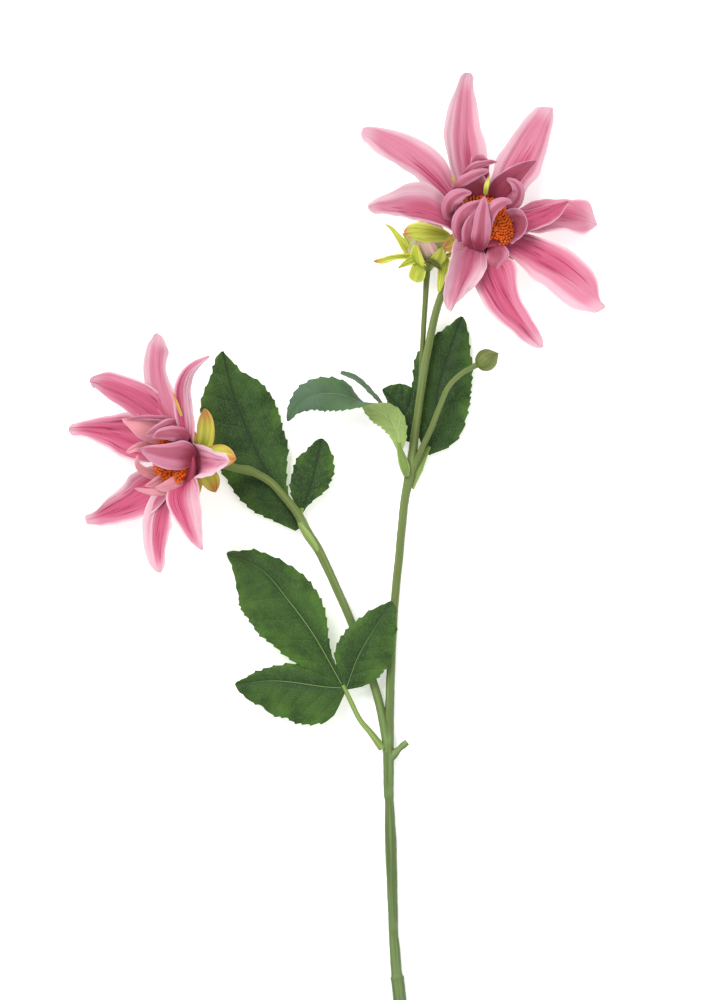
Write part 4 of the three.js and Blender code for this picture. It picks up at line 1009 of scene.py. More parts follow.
class DiscSettings(bpy.types.PropertyGroup):
    florets: count_property("Florets", "Florets that cover a whole disc", 380, 20)
    radius: length_property("Floret radius", "Radius of a floret's mouth", 0.62)
    shadow: tone_property("Shadow", "Brown orange between the florets", 188, 68, 16)
    middle: tone_property("Middle", "Orange of the florets", 232, 104, 24)
    tip: tone_property("Tip", "Yellow orange of the florets' mouths", 248, 146, 48)


class SepalSettings(bpy.types.PropertyGroup):
    thickness: length_property("Thickness", "Thickness of a sepal", 0.6)
    base: tone_property("Base", "Yellow green of the sepals", 182, 190, 58)
    streak: tone_property("Streak", "Greener streaks", 134, 160, 44)
    light: tone_property("Light", "Lighter patches", 216, 220, 98)
    rim: tone_property("Rim", "Orange brown of the rims and tips", 192, 120, 74)


class BudSettings(bpy.types.PropertyGroup):
    cream: tone_property("Cream", "Pinkish cream of the half-open bud", 222, 190, 176)
    flush: tone_property("Flush", "Purple streaks of the half-open bud", 192, 134, 146)
    green: tone_property("Green", "Green streaks of the half-open bud", 168, 172, 110)
    bud: tone_property("Green bud", "Olive of the closed bud", 90, 104, 42)
    bud_streak: tone_property("Green bud streak", "Darker streaks of the closed bud", 80, 96, 40)
    bud_light: tone_property("Green bud light", "Lighter patches of the closed bud", 118, 130, 66)


class LeafSettings(bpy.types.PropertyGroup):
    rows: count_property("Rows a tooth", "Faces along each tooth", 10, 4)
    columns: count_property("Columns", "Faces across a leaflet", 40, 4)
    thickness: length_property("Thickness", "Thickness of a leaflet", 0.45)
    quilt: length_property("Quilting", "How far the blade swells between its side veins", 0.45)
    dark: tone_property("Dark", "Dark green of the blade", 24, 50, 18)
    light: tone_property("Light", "Lighter, yellower green near the edges", 65, 98, 35)
    vein: tone_property("Vein", "Green of the veins", 92, 122, 56)
    # rib is the dark green of the painted shade in the midrib's groove and in the valley beside it
    rib: tone_property("Midrib", "Green of the midrib's groove", 22, 44, 22)
    light_rib: tone_property("Light midrib", "Green of a midrib that stands out", 120, 148, 76)
    bluish: tone_property("Bluish", "Bluish green of the leaf that turns its back up", 84, 110, 88)
    back: tone_property("Back", "Pale green of the underside", 150, 174, 98)
    back_vein: tone_property("Back veins", "Pale green of the underside's veins", 190, 208, 140)
    stalk: tone_property("Stalk", "Light green of the leaf stalks", 118, 144, 68)
    stalk_streak: tone_property("Stalk streak", "Darker streaks of the leaf stalks", 104, 122, 56)
    stalk_light: tone_property("Stalk light", "Lighter patches of the leaf stalks", 148, 172, 92)


class StemSettings(bpy.types.PropertyGroup):
    sides: count_property("Sides", "Faces round a stalk of the stem", 30, 8)
    base: tone_property("Base", "Mid green of the stem", 86, 114, 60)
    streak: tone_property("Streak", "Olive streaks", 98, 106, 44)
    light: tone_property("Light", "Lighter green patches", 118, 142, 82)


class StudioSettings(bpy.types.PropertyGroup):
    camera_height: bpy.props.FloatProperty(name="Camera height", description="Camera over the table",
                                           default=3.0, min=0.5, unit="LENGTH")
    floor: tone_property("Floor", "Pale floor", 246, 246, 246)
    floor_glow: bpy.props.FloatProperty(name="Floor glow", description="Light from under the table top",
                                        default=0.3, min=0)
    light_power: bpy.props.FloatProperty(name="Light", description="Power of the large soft lamp in watts",
                                         default=42.0, min=0)
    surround: bpy.props.FloatProperty(name="Surround", description="Strength of the even white surround",
                                      default=0.75, min=0)


# Builders

def channels(depth, count, wave, waves, seed):
    """Lengthwise channels that fade out towards the tip, soft crumples, and edges that wave."""
    def relief(along, across, reach, length):
        envelope = smooth(along, 0.04, 0.2) * (1 - 0.8 * smooth(along, 0.55, 1.0))
        swing = 0.5 * np.sin(2.6 * along + seed) + 0.25 * np.sin(6.1 * along + 2 * seed)
        valley = np.abs(np.cos(math.pi * count / 2 * across + swing)) ** 0.7
        crumple = (np.sin(7.3 * along + 2.1 * across + seed) * np.sin(3.7 * across - 2.9 * along + 2 * seed)
                   + 0.5 * np.sin(15.1 * along - 3.3 * across + 3 * seed))
        edge = np.abs(across) ** 3 * (np.sin(2 * math.pi * waves * along + seed * 2.1 + 1.7 * np.sign(across))
                                      + 0.4 * np.sin(math.pi * 5.2 * waves * along + seed))
        return (depth * valley * envelope * (1 - across ** 6) + 0.45 * wave * crumple * smooth(along, 0, 0.3)
                + wave * edge * smooth(along, 0.1, 0.4))
    return relief


def build_rays(name, stand, petals, material, node, seed):
    settings = bpy.context.scene.dahlia_rays
    thickness, pleat, wave = (getattr(settings, key) / MILLIMETRE for key in ("thickness", "pleat", "wave"))
    parts = [turned_body(stand, [(0, RAY["bottom"]), (RAY["ring"] - 3, RAY["bottom"]), (RAY["ring"], 0),
                                 (RAY["ring"] - 1, 2.6), (RAY["ring"] - 4, RAY["top"]), (0, RAY["top"])], 40)]
    blacken(parts[0])
    for index, shape in enumerate(petals):
        ripples = channels(pleat, 4 + index % 2, wave, 1.6 + 0.35 * (index % 3), seed + index)
        size = (settings.rows, settings.columns, thickness, ripples, seed + index)
        if "rib" in shape:
            middle = through([stand.place(shape["turn"], RAY["root"], 0), *shape["rib"]])
            parts.append(blade(middle, stand.direction(shape["turn"], shape["rise"] + 90), shape, *size))
        else:
            parts.append(petal(stand, RAY["root"], 0, shape, *size))
    make_piece(name, parts, material, node)


def build_inner(name, stand, petals, material, node, seed):
    settings = bpy.context.scene.dahlia_inner
    thickness, pleat = settings.thickness / MILLIMETRE, settings.pleat / MILLIMETRE
    ring = INNER["ring"]
    parts = [turned_body(stand, [(0, INNER["bottom"]), (ring - 4, INNER["bottom"]), (ring, INNER["height"]),
                                 (ring, INNER["top"]), (0, INNER["top"])], 48)]
    blacken(parts[0])
    for index, shape in enumerate(petals):
        ripples = channels(pleat, 3, 0.3, 1.2, seed + index)
        parts.append(facing_blade(shape["rib"], shape, settings.rows, settings.columns, thickness, ripples,
                                  seed + index))
    make_piece(name, parts, material, node)


FLORET_SIDES = 10
# Share of the radius, share of the length, how far the five points rise there and how bright it is painted:
# low values give the painted shade between the florets and inside the mouth
FLORET_PROFILE = [(0.6, 0, 0, 0), (0.5, 0.35, 0, 0.3), (0.62, 0.66, 0, 0.66), (0.98, 0.86, 0.1, 1),
                  (0.8, 0.9, 0.07, 0.95), (0.42, 0.72, 0, 0.5)]


def floret(place, axis, length, radius, seed, spin):
    """One short disc floret: a tube that widens into five points round a hollow mouth."""
    sides = FLORET_SIDES
    upper = unit(np.cross(axis, [0.3, 0.8, 0.5]))
    other = np.cross(axis, upper)
    turn = np.linspace(0, 2 * math.pi, sides, endpoint=False) + spin
    pointed = np.where(np.arange(sides) % 2 == 0, 1.0, 0.0)
    rings = np.array([place + axis * length * (height + lift * pointed[:, None])
                      + radius * share * (np.cos(turn)[:, None] * upper + np.sin(turn)[:, None] * other)
                      for share, height, lift, _ in FLORET_PROFILE])
    ones = np.ones((len(FLORET_PROFILE), sides))
    levels = np.array([level for *_, level in FLORET_PROFILE])[:, None] * ones
    layers = {"along": levels, "seed": ones * seed, "across": ones * np.cos(turn)[None, :]}
    return ring_skin(rings, layers)


def build_disc(name, stand, bare, material, node, seed):
    """Florets over the disc, and out to its rim where bare gives spans of turns free of petals."""
    settings = bpy.context.scene.dahlia_disc
    radius = settings.radius / MILLIMETRE
    rise, wide = DISC["top"] - DISC["bottom"], DISC["radius"]
    edge, inside = wide + 1.9, wide - 1.0
    # How far the dome and the florets' roots lie under the disc's face, and the lean of the outermost ones
    dome_depth, floret_depth, lean = 1.5, 2.1, 62
    dice = random.Random(seed)

    def height(distance):
        return DISC["bottom"] + rise * math.sqrt(max(1 - (distance / (edge + 0.6)) ** 2, 0))

    profile = [(0, DISC["bottom"]), (inside - 0.6, DISC["bottom"])]
    profile += [(inside * share, height(inside * share) - dome_depth)
                for share in (0.98, 0.92, 0.75, 0.5, 0.25)]
    dome = turned_body(stand, [*profile, (0, DISC["top"] - dome_depth)], 40)
    dome["layers"]["along"] = dome["layers"]["along"] * 0
    parts = [dome]
    for index in range(settings.florets):
        distance = edge * math.sqrt((index + 0.5) / settings.florets)
        turn = math.degrees(index * GOLDEN_ANGLE) % 360
        if distance > wide - 1.2 and not any(low < turn < high for low, high in bare):
            continue
        rise_angle = 90 - lean * (distance / edge) ** 1.5 + dice.uniform(-7, 7)
        axis = stand.direction(turn + dice.uniform(-8, 8), rise_angle)
        place = stand.place(turn, distance, height(distance) - floret_depth)
        length = 2.5 + dice.uniform(0, 0.9)
        parts.append(floret(place, axis, length, radius * dice.uniform(0.85, 1.15), dice.random(),
                            dice.uniform(0, 6.28)))
    make_piece(name, parts, material, node, sharp_over=70)


def sepal_relief(along, across, reach, length):
    return (0.22 * np.cos(math.pi * 3 * across) * (1 - across ** 4)
            + 0.3 * np.abs(across) ** 3 * np.sin(9 * along + 2 * np.sign(across))) * smooth(along, 0.05, 0.3)


def build_sepals(name, stand, sepals, scales, material, node, seed):
    thickness = bpy.context.scene.dahlia_sepals.thickness / MILLIMETRE
    bottom, neck = CALYX["bottom"], CALYX["neck"]
    cup = turned_body(stand, [(0, bottom), (neck, bottom), (neck + 2.4, bottom + 1.6),
                              (CALYX["rim"], CALYX["top"] - 1.2), (CALYX["rim"] - 0.6, CALYX["top"]),
                              (0, CALYX["top"])], 40)
    parts = [cup]
    for index, (turn, tip, half) in enumerate(sepals):
        shape = dict(turn=turn, rise=-6, tip=stand.place(*tip), half=half, fold=40, widest=0.55,
                     tip_power=0.7, root_width=0.5, face=0.9, pale=(1.5, 1.5))
        parts.append(petal(stand, neck, CALYX["top"] - 2.4, shape, *SEPAL_GRID, thickness, sepal_relief,
                           seed + index))
    for index, (half, rib, tan) in enumerate(scales):
        shape = dict(half=half, fold=20, widest=0.4, tip_power=0.8, root_width=0.7, pale=(1.5, 1.5))
        scale = facing_blade(rib, shape, *SCALE_GRID, thickness, None, seed + index)
        scale["layers"]["along"] = tan + (1 - tan) * scale["layers"]["along"]
        parts.append(scale)
    make_piece(name, parts, material, node)


BUD_PROFILE = [(0, -10.5), (5, -10.1), (8, -7.5), (9.8, -3.5), (10.2, 0), (9.6, 3.5), (8, 7), (5, 10.2),
               (2.4, 12), (0, 12.4)]
BUD_BRACTS = [
    dict(rib=[(27.2, 122.7, 13), (23.1, 126.6, 15.5), (19.6, 131.6, 17.4), (16.1, 136, 18.6),
              (12.8, 138.4, 19)],
         both=(1.4, 2.1, 2.4, 2.4, 2.2, 1.9, 1.6, 1.3, 1.05, 0.8, 0.6, 0.4, 0.2)),
    dict(rib=[(27.6, 122.9, 15), (25.4, 127.3, 17.6), (23.1, 131.2, 19), (21.3, 134, 19.6)],
         both=(0.7, 0.9, 1, 1, 0.95, 0.9, 0.85, 0.75, 0.6, 0.5, 0.4, 0.3, 0.15)),
    dict(rib=[(29.2, 121.9, 14.5), (22.6, 122.3, 17), (16.1, 121.6, 18.8), (11, 120.1, 19.4),
              (6.8, 119.7, 19.5)], orange=1,
         both=(1, 1.2, 1.4, 1.5, 1.5, 1.5, 1.6, 1.7, 1.6, 1.3, 0.9, 0.5, 0.2)),
    dict(rib=[(32.2, 122.1, 16), (27.1, 120.6, 18.5), (23.1, 118.9, 20), (19.1, 116.2, 20.8)],
         both=(1.2, 1.7, 2, 2.2, 2.3, 2.2, 1.9, 1.5, 1.1, 0.7, 0.5, 0.3, 0.15)),
    dict(rib=[(31.9, 121.1, 15.5), (30.4, 117, 17.5), (28.9, 113.4, 18.2), (27.6, 109.5, 17.7)],
         left=(1, 1.6, 2.2, 2.8, 3.3, 3.7, 3.9, 4, 3.9, 3.5, 2.8, 1.9, 0.7),
         right=(1, 1.8, 2.8, 3.6, 4.1, 4.4, 4.6, 4.6, 4.3, 3.7, 2.8, 1.8, 0.6)),
    dict(rib=[(39.2, 122.4, 13), (42.2, 120.7, 13.6), (42, 116.6, 14), (40.7, 111.1, 14),
              (39.7, 104.3, 13.5)],
         both=(1.2, 2, 2.6, 2.9, 2.8, 2.5, 2.2, 1.9, 1.6, 1.2, 0.9, 0.6, 0.2)),
    dict(rib=[(32.1, 119.1, 22), (35.1, 119.5, 23), (38.3, 118, 22.6), (40.9, 115.3, 21)], dusky=0.8,
         both=(1, 1.6, 1.9, 2, 1.9, 1.8, 1.6, 1.4, 1.1, 0.8, 0.5, 0.3, 0.15)),
    dict(rib=[(36.6, 118.6, 22.4), (33.6, 119.2, 24), (30.5, 119.8, 23.6)], dusky=0.8,
         both=(1, 1.2, 1.4, 1.4, 1.3, 1.2, 1, 0.9, 0.7, 0.5, 0.4, 0.3, 0.15)),
    dict(rib=[(34.1, 120.6, 22), (34.2, 118.8, 22.6), (34.3, 116.9, 21), (34.4, 115, 17.6)], dusky=0.7,
         both=(1, 1.8, 2.2, 2.4, 2.5, 2.4, 2.3, 2.1, 1.9, 1.6, 1.2, 0.8, 0.4)),
    dict(turn=20, rise=10, tip=(10, 15, -4), half=3),
    dict(turn=90, rise=10, tip=(90, 12, -6), half=4),
]
# The large sepal that lies over the bud, and those that hug it, by the places (turn, radius, height)
# of their middles
BUD_HOOD = dict(orange=1, rib=[(45.7, 131.5, 18), (43.1, 132.1, 21.5), (40.1, 132.8, 24.3), (34, 133.7, 26.6),
                     (28, 134.6, 25.2), (25.1, 134.6, 22.6), (22.3, 134, 18.6)],
                fold=(-35, -50), left=(1.2, 2.4, 3.2, 4, 4.8, 5.2, 5.3, 5, 4.4, 3.5, 2.5, 1.6, 0.5),
                right=(1.2, 2.6, 3.4, 4.1, 4.8, 5.2, 5.3, 5.1, 4.5, 3.7, 2.8, 1.9, 0.6))
BUD_SEPALS = [
    dict(rib=[(228, 5, -11.8), (232, 9.6, -8), (236, 11.2, -3), (240, 11.6, 1.5)],
         both=(2, 4.4, 5.8, 6.4, 6.6, 6.4, 5.8, 5, 3.8, 2.6, 1.6, 0.9, 0.4)),
    dict(rib=[(300, 5, -11.8), (302, 9.6, -8), (304, 11, -4), (306, 11.5, 0)],
         both=(2, 3.4, 4.4, 5, 5, 4.8, 4.4, 3.8, 3, 2.2, 1.4, 0.8, 0.4)),
]
GREEN_BUD_PROFILE = [(0, -5.3), (1.6, -5.3), (3.9, -4), (5.5, -1), (5.4, 1.4), (4.3, 3.6), (2.4, 5.3),
                     (0.9, 6.5), (0, 7.2)]


def build_half_open_bud(petal_tone, sepal_tone):
    body = turned_body(HALF_OPEN, BUD_PROFILE, 180, lobes=6, step=0.13, swirl=0.05, steps=80)
    make_piece("half_open_bud", [body], petal_tone, "half_open_bud_petals", sharp_over=40)
    thickness = bpy.context.scene.dahlia_sepals.thickness / MILLIMETRE
    parts = [turned_body(HALF_OPEN, [(0, -13.6), (2.4, -13.6), (5, -11.9), (5.6, -10.9), (0, -10.9)], 36)]
    blacken(parts[0], 0.7)
    for index, shape in enumerate(BUD_BRACTS):
        shape = {"fold": 30, "widest": 0.5, "tip_power": 0.7, "root_width": 0.4, **shape}
        size = (*BRACT_GRID, thickness, sepal_relief, 60 + index)
        if "rib" in shape:
            parts.append(facing_blade(shape["rib"], shape, *size))
        else:
            shape["tip"] = HALF_OPEN.place(*shape["tip"])
            parts.append(petal(HALF_OPEN, 3, -12, shape, *size))
    parts.append(facing_blade(BUD_HOOD["rib"], BUD_HOOD, *BUD_SEPAL_GRID, thickness, sepal_relief, 59))
    for index, shape in enumerate(BUD_SEPALS):
        middle = through([HALF_OPEN.place(*place) for place in shape["rib"]])
        facing = HALF_OPEN.direction(shape["rib"][0][0], 20)
        parts.append(blade(middle, facing, {"fold": -30, **shape}, *BUD_SEPAL_GRID, thickness, sepal_relief,
                           70 + index))
    for part, shape in zip(parts[1:], BUD_BRACTS + [BUD_HOOD] + BUD_SEPALS):
        if not shape.get("orange"):
            part["layers"]["along"] = part["layers"]["along"] * 0.78
    make_piece("half_open_bud_bracts", parts, sepal_tone, "half_open_bud_sepals")


def build_green_bud(material):
    body = turned_body(GREEN, GREEN_BUD_PROFILE, 100, lobes=5, step=0.06, swirl=0.03)
    make_piece("closed_bud", [body], material, "green_bud")


# The stem and its stalks as places (x, y, z, radius), from the cut end up
MAIN_STALK = [
    (20.5, -256, 3.4, 3.35), (18.9, -243, 3.4, 3.3), (18.7, -241, 3.3, 3.6), (18.5, -239.6, 3.1, 2.8),
    (17.4, -226, 2.9, 2.65), (16.9, -219, 2.9, 2.35), (16.3, -200, 3.0, 2.6), (15.4, -172.5, 3.3, 3.0),
    (14.7, -152, 3.6, 2.15), (14.5, -149, 3.6, 2.5), (14.3, -130, 4.2, 2.75), (15, -100, 5, 2.25),
    (16, -75, 5.6, 2.15), (17.5, -50, 6.2, 2.1), (19.5, -30, 6.9, 2.1), (22.5, 0, 7.8, 2.1),
    (25.2, 15, 8.5, 2.5), (28.5, 40, 9.3, 2.0), (33, 70, 9.8, 2.0), (36, 85, 10.2, 1.95),
    (39, 97.5, 10.8, 1.9), (44, 110, 11.6, 1.9), (50, 121.5, 12.8, 1.9), (54.3, 128.3, 15.2, 2.0),
    (*UPPER.along(STALK_END), 2.2),
]
LEFT_BRANCH = [
    (14.2, -131, 4.4, 2.2), (12.4, -116, 5.0, 2.3), (9, -100, 5.8, 2.2), (6, -90, 6.3, 2.15),
    (1, -75, 7.2, 2.1), (-5, -60, 8.2, 2.1), (-15, -37.5, 10, 2.15), (-21, -25, 11.2, 2.3),
    (-26, -17.5, 12, 2.6), (-31, -7.5, 12.8, 2.2), (-37.5, 1, 13.5, 2.0), (-45, 9, 14.3, 1.95),
    (-52.5, 13.5, 15, 1.95), (-56, 14.8, 15.4, 2.5), (-60, 15.5, 16, 2.1), (-68, 17.5, 17.6, 1.9),
    (-74.6, 19, 20.2, 2.0),
    (*LEFT.along(STALK_END), 2.2),
]
HALF_OPEN_STALK = [
    (29, 38, 9, 1.4), (30.6, 60, 7.8, 1.35), (31.6, 80, 7.8, 1.3), (32.8, 100, 8.6, 1.35),
    (33.4, 110, 9.8, 1.5), (33.6, 116.2, 11.1, 1.8),
]
GREEN_BUD_STALK = [
    (26.5, 16, 8.8, 1.5), (32, 28, 10.5, 1.5), (36.2, 37, 12, 1.45), (40, 47, 13.5, 1.4),
    (44.5, 57, 14.8, 1.35), (51.5, 64, 15.8, 1.3), (57, 67, 16.4, 1.4), (61, 69, 16.7, 1.6),
]
CUT_STUB = [(14.6, -131, 4.4, 2.2), (17.6, -127.6, 4.8, 2.2), (20, -125.3, 5.1, 1.35),
            (22, -123.5, 5.2, 1.8), (23.8, -122, 5.2, 1.5)]
# Where the stem has a darker ring, as places (x, y)
STEM_RINGS = [(14.6, -150.5), (17, -218), (18.8, -241), (25.2, 15), (-28.5, -15.5), (14.6, -124)]


def build_stem(material):
    sides = bpy.context.scene.dahlia_stem.sides
    stalks = (MAIN_STALK, LEFT_BRANCH, HALF_OPEN_STALK, GREEN_BUD_STALK, CUT_STUB)
    parts = [stalk(places, sides, index) for index, places in enumerate(stalks)]
    for part in parts:
        x, y = part["points"][:, 0], part["points"][:, 1]

        def near_rings(above, width):
            """1 at the rings, or that many millimetres above them, and 0 away from them."""
            return np.maximum.reduce([np.exp(-((x - ring[0]) ** 2 + (y - ring[1] - above) ** 2) / width)
                                      for ring in STEM_RINGS])

        part["layers"]["deep"] = np.maximum(near_rings(0, 3.5), 0.75 * smooth(y, -110, 20))
        part["layers"]["pale"] = near_rings(3, 9)
        part["layers"]["dusky"] = 0.3 * (1 - smooth(y, -170, -110))
    make_piece("stem", parts, material, "main_stem")


# Leaves: petioles as places (x, y, z, radius), and leaflets by the places of their midribs
LEAVES = {
    "lower_leaf": (
        [[(11.2, -125, 5.2, 2.0), (5, -116.7, 8, 1.5), (0, -110.5, 10, 1.3), (-5, -100.5, 12, 1.2),
          (-8.5, -93, 13, 1.1)]],
        [dict(rib=[(-8.5, -94, 13), (-23.5, -67.5, 15.5), (-35.5, -51, 16.5), (-49, -35.5, 15),
                   (-67, -26.5, 10)], teeth=18, light_rib=1,
              left=(1, 6, 13, 18, 20, 22.5, 22.2, 21.8, 19, 13, 5.5, 2.4, 0.6),
              right=(1, 2, 3.4, 7.2, 11.9, 14.2, 14.3, 11.9, 8.6, 7.1, 3.6, 2, 0.5)),
         dict(rib=[(-7, -95, 13), (-1, -79, 14.5), (7, -65, 15), (16, -51, 13.8)], teeth=11, light_rib=0.65,
              left=(1, 6, 9.5, 11.9, 12.5, 12, 11, 8.9, 7, 4.5, 2.7, 1.4, 0.5),
              right=(1, 9, 13.2, 14.9, 16, 15.5, 14.2, 11.2, 9.9, 6.1, 4.7, 3, 0.7)),
         dict(rib=[(-7.5, -94.5, 13), (-17, -94, 13.5), (-35, -91.5, 13), (-46, -91, 11.5),
                   (-63, -93, 7.5)], teeth=12, light_rib=0.8,
              left=(3, 15.2, 19.3, 20.4, 20.6, 18.6, 18.5, 16.4, 12, 9.9, 5.9, 3.6, 0.8),
              right=(1, 4, 7, 9, 10, 9.8, 8.3, 6.7, 5.2, 3.2, 2.1, 1.4, 0.5))],
    ),
    "branch_leaf": (
        [[(-20.5, -27, 8.4, 1.5), (-26, -19, 8.2, 1.5), (-30.4, -11.5, 7.6, 1.1), (-29, -4, 7.2, 0.9)],
         [(-20.5, -26.5, 11.8, 1.2), (-23.5, -21.5, 13.2, 1.8), (-26.4, -17.3, 13.7, 2.0),
          (-29, -13.2, 13.5, 1.5), (-31.8, -7.5, 12.6, 1.0)]],
        [dict(rib=[(-30, -14, 7.8), (-45.5, 11, 7.5), (-54.5, 29, 6.5), (-59.5, 41.8, 5.8),
                   (-65.5, 59, 5.8), (-69.2, 75, 7)], teeth=20,
              left=(3, 9.5, 15.8, 18.9, 20, 21.5, 22, 20.5, 16.5, 9.4, 6, 3.6, 0.7),
              right=(1, 2.5, 5, 10, 15.7, 17.2, 18.5, 17.8, 14.1, 7.1, 3.7, 1.2, 0.4)),
         dict(rib=[(-29.5, -6, 7.2), (-24, 10, 7.2), (-19, 31, 6.2)], teeth=9,
              left=(1, 6, 9, 10.5, 11, 11.3, 11.2, 10.1, 6.8, 5, 3.3, 2, 0.5),
              right=(1, 2, 4.2, 6.5, 8.9, 9.3, 9.9, 8.9, 7.5, 5.3, 3.7, 2, 0.6))],
    ),
    "upper_left_leaf": (
        [[(23.4, 12, 11.2, 1.4), (22.8, 16, 12.2, 2.6), (21.6, 20, 13.2, 2.5), (20.3, 24.5, 14.4, 1.6),
          (19.6, 29, 16, 1.3)]],
        [dict(rib=[(20, 25, 15), (19, 34, 18), (14, 42, 22), (3, 48.5, 25), (-10, 53, 26), (-24, 52.5, 23),
                   (-32, 47, 18), (-36.5, 39.5, 13)],
              teeth=20, bluish=1, light_rib=0.6, upper=(0.35, 0.25, -0.9), twist=-150, twist_span=(0.2, 0.75),
              left=(1.5, 5, 8, 10, 11, 10, 9, 9.1, 7, 4.2, 2.2, 1.2, 0.4),
              right=(1.5, 5, 7.5, 9.5, 10.5, 10, 9, 8.2, 6.8, 4.5, 2.6, 1.3, 0.4)),
         dict(rib=[(16.5, 38, 20), (11, 49, 22), (3.5, 57, 23.5), (-3, 62, 24.5), (-9.5, 64.5, 25)],
              teeth=8, bluish=1, upper=(0.7, 0.62, 0.3),
              left=(0.5, 2, 3, 3.6, 4, 4.2, 4.2, 3.6, 3.2, 2.6, 2, 1.4, 0.4),
              right=(0.5, 1.5, 2.4, 3.4, 4, 4.2, 4, 3.4, 3, 2.6, 2, 1.3, 0.4))],
    ),
    "upper_right_leaf": (
        [[(25.8, 6, 5.4, 1.6), (27.6, 11, 5, 2.0), (29.2, 15.5, 4.8, 2.6), (31.2, 19.5, 4.6, 2.0),
          (33, 23, 4.4, 1.4), (35, 27, 4.2, 1.0)],
         [(29, 14, 4.6, 1.3), (27.8, 24, 4.4, 1.0), (26, 33, 4.2, 0.9)]],
        [dict(rib=[(33.6, 23, 4.4), (37.5, 38, 4.2), (39.5, 56, 4.2), (44.5, 73, 4.4), (51.5, 92.5, 4.8)],
              teeth=15, fold=-8, left=(1.5, 6, 10, 12, 13, 14, 15.5, 14.5, 10.5, 6.5, 3.5, 1.9, 0.6),
              right=(1.5, 10.5, 14.4, 16, 17, 16.6, 15.5, 13.5, 9.7, 7.1, 4.4, 2.3, 0.6)),
         dict(rib=[(27, 29, 4.3), (22, 44, 4.2), (11.5, 56, 4)], teeth=7, fold=-8,
              left=(1, 5, 7, 8, 8, 7.5, 6, 4.5, 3, 1.9, 1.3, 0.8, 0.3),
              right=(1, 6, 9, 10.5, 11, 11.3, 11.4, 11.3, 9.7, 8.6, 5.3, 3.3, 1))],
    ),
}


def quilting(depth, seed):
    """The blade swells between its side veins, sinks along its midrib and rolls gently."""
    def relief(along, across, reach, length):
        off = np.abs(reach)
        cell = ((along * length - VEIN_SLOPE * off) / length * SIDE_VEINS + 10) % 1
        swell = np.sin(math.pi * cell) ** 0.7 * smooth(off, 0.5, 4) * (1 - smooth(np.abs(across), 0.7, 1))
        groove = -0.35 * (1 - smooth(off, 0.0, 1.3))
        roll = 0.5 * np.sin(5 * along + seed) * across + 0.3 * np.sin(11 * along + 2 * seed) * across ** 2
        return depth * (swell - 0.5) * smooth(along, 0, 0.1) + groove + roll * smooth(along, 0, 0.2)
    return relief


def build_leaf(name, leaf_tone, stalk_tone, seed):
    settings = bpy.context.scene.dahlia_leaves
    petioles, leaflets = LEAVES[name]
    thickness, quilt = settings.thickness / MILLIMETRE, settings.quilt / MILLIMETRE
    parts = []
    for index, leaflet in enumerate(leaflets):
        shape = {"fold": -14, "upper": (0, 0, 1), **leaflet}
        rows = shape["teeth"] * settings.rows
        parts.append(blade(through(shape["rib"]), shape["upper"], shape, rows, settings.columns, thickness,
                           quilting(quilt, seed + index), seed + index))
    make_piece(name + "_blades", parts, leaf_tone, name)
    stalks = [stalk(places, 20, seed + index, 3, 0.05) for index, places in enumerate(petioles)]
    make_piece(name + "_petiole", stalks, stalk_tone, name)


# Operators

def green_tone(name, settings, rim=None):
    return streaked_material(name, settings.base, settings.streak, settings.light, rim=rim)


class DAHLIA_OT_stem(bpy.types.Operator):
    """Adds the stem with its branches, stalks and the cut stub"""
    bl_idname = "dahlia.stem"
    bl_label = "Stem"

    def execute(self, context):
        build_stem(green_tone("stem_green", context.scene.dahlia_stem))
        return {"FINISHED"}


class DAHLIA_OT_ray_petals(bpy.types.Operator):
    """Adds the ray petals of both blooms"""
    bl_idname = "dahlia.ray_petals"
    bl_label = "Ray petals"

    def execute(self, context):
        material = petal_material("ray_petals", context.scene.dahlia_rays, stripes=6.5, stripe_share=0.9,
                                  rim_share=0.55)
        build_rays("upper_bloom_rays", UPPER, UPPER_RAYS, material, "upper_bloom_ray_petals", 3)
        build_rays("left_bloom_rays", LEFT, LEFT_RAYS, material, "left_bloom_ray_petals", 21)
        return {"FINISHED"}


class DAHLIA_OT_inner_petals(bpy.types.Operator):
    """Adds the small mauve petals round the disc of both blooms"""
    bl_idname = "dahlia.inner_petals"
    bl_label = "Inner petals"

    def execute(self, context):
        material = petal_material("inner_petals", context.scene.dahlia_inner, stripes=5.0, stripe_share=0.6,
                                  rim_share=0.9)
        build_inner("upper_bloom_inner", UPPER, UPPER_INNER, material, "upper_bloom_inner_petals", 40)
        build_inner("left_bloom_inner", LEFT, LEFT_INNER, material, "left_bloom_inner_petals", 80)
        return {"FINISHED"}


class DAHLIA_OT_discs(bpy.types.Operator):
    """Adds the orange florets of both discs"""
    bl_idname = "dahlia.discs"
    bl_label = "Discs"

    def execute(self, context):
        material = floret_material(context.scene.dahlia_disc)
        build_disc("upper_bloom_florets", UPPER, [(85, 185), (290, 360), (0, 20)], material,
                   "upper_bloom_disc", 11)
        build_disc("left_bloom_florets", LEFT, [(95, 150), (195, 285)], material, "left_bloom_disc", 12)
        return {"FINISHED"}


class DAHLIA_OT_sepals(bpy.types.Operator):
    """Adds the cup of sepals behind each bloom"""
    bl_idname = "dahlia.sepals"
    bl_label = "Sepals"

    def execute(self, context):
        settings = context.scene.dahlia_sepals
        material = green_tone("sepals", settings, (settings.rim, 0.6, 0.5))
        build_sepals("upper_bloom_calyx", UPPER, UPPER_SEPALS, UPPER_SCALES, material,
                     "upper_bloom_sepals", 5)
        build_sepals("left_bloom_calyx", LEFT, LEFT_SEPALS, LEFT_SCALES, material, "left_bloom_sepals", 15)
        return {"FINISHED"}


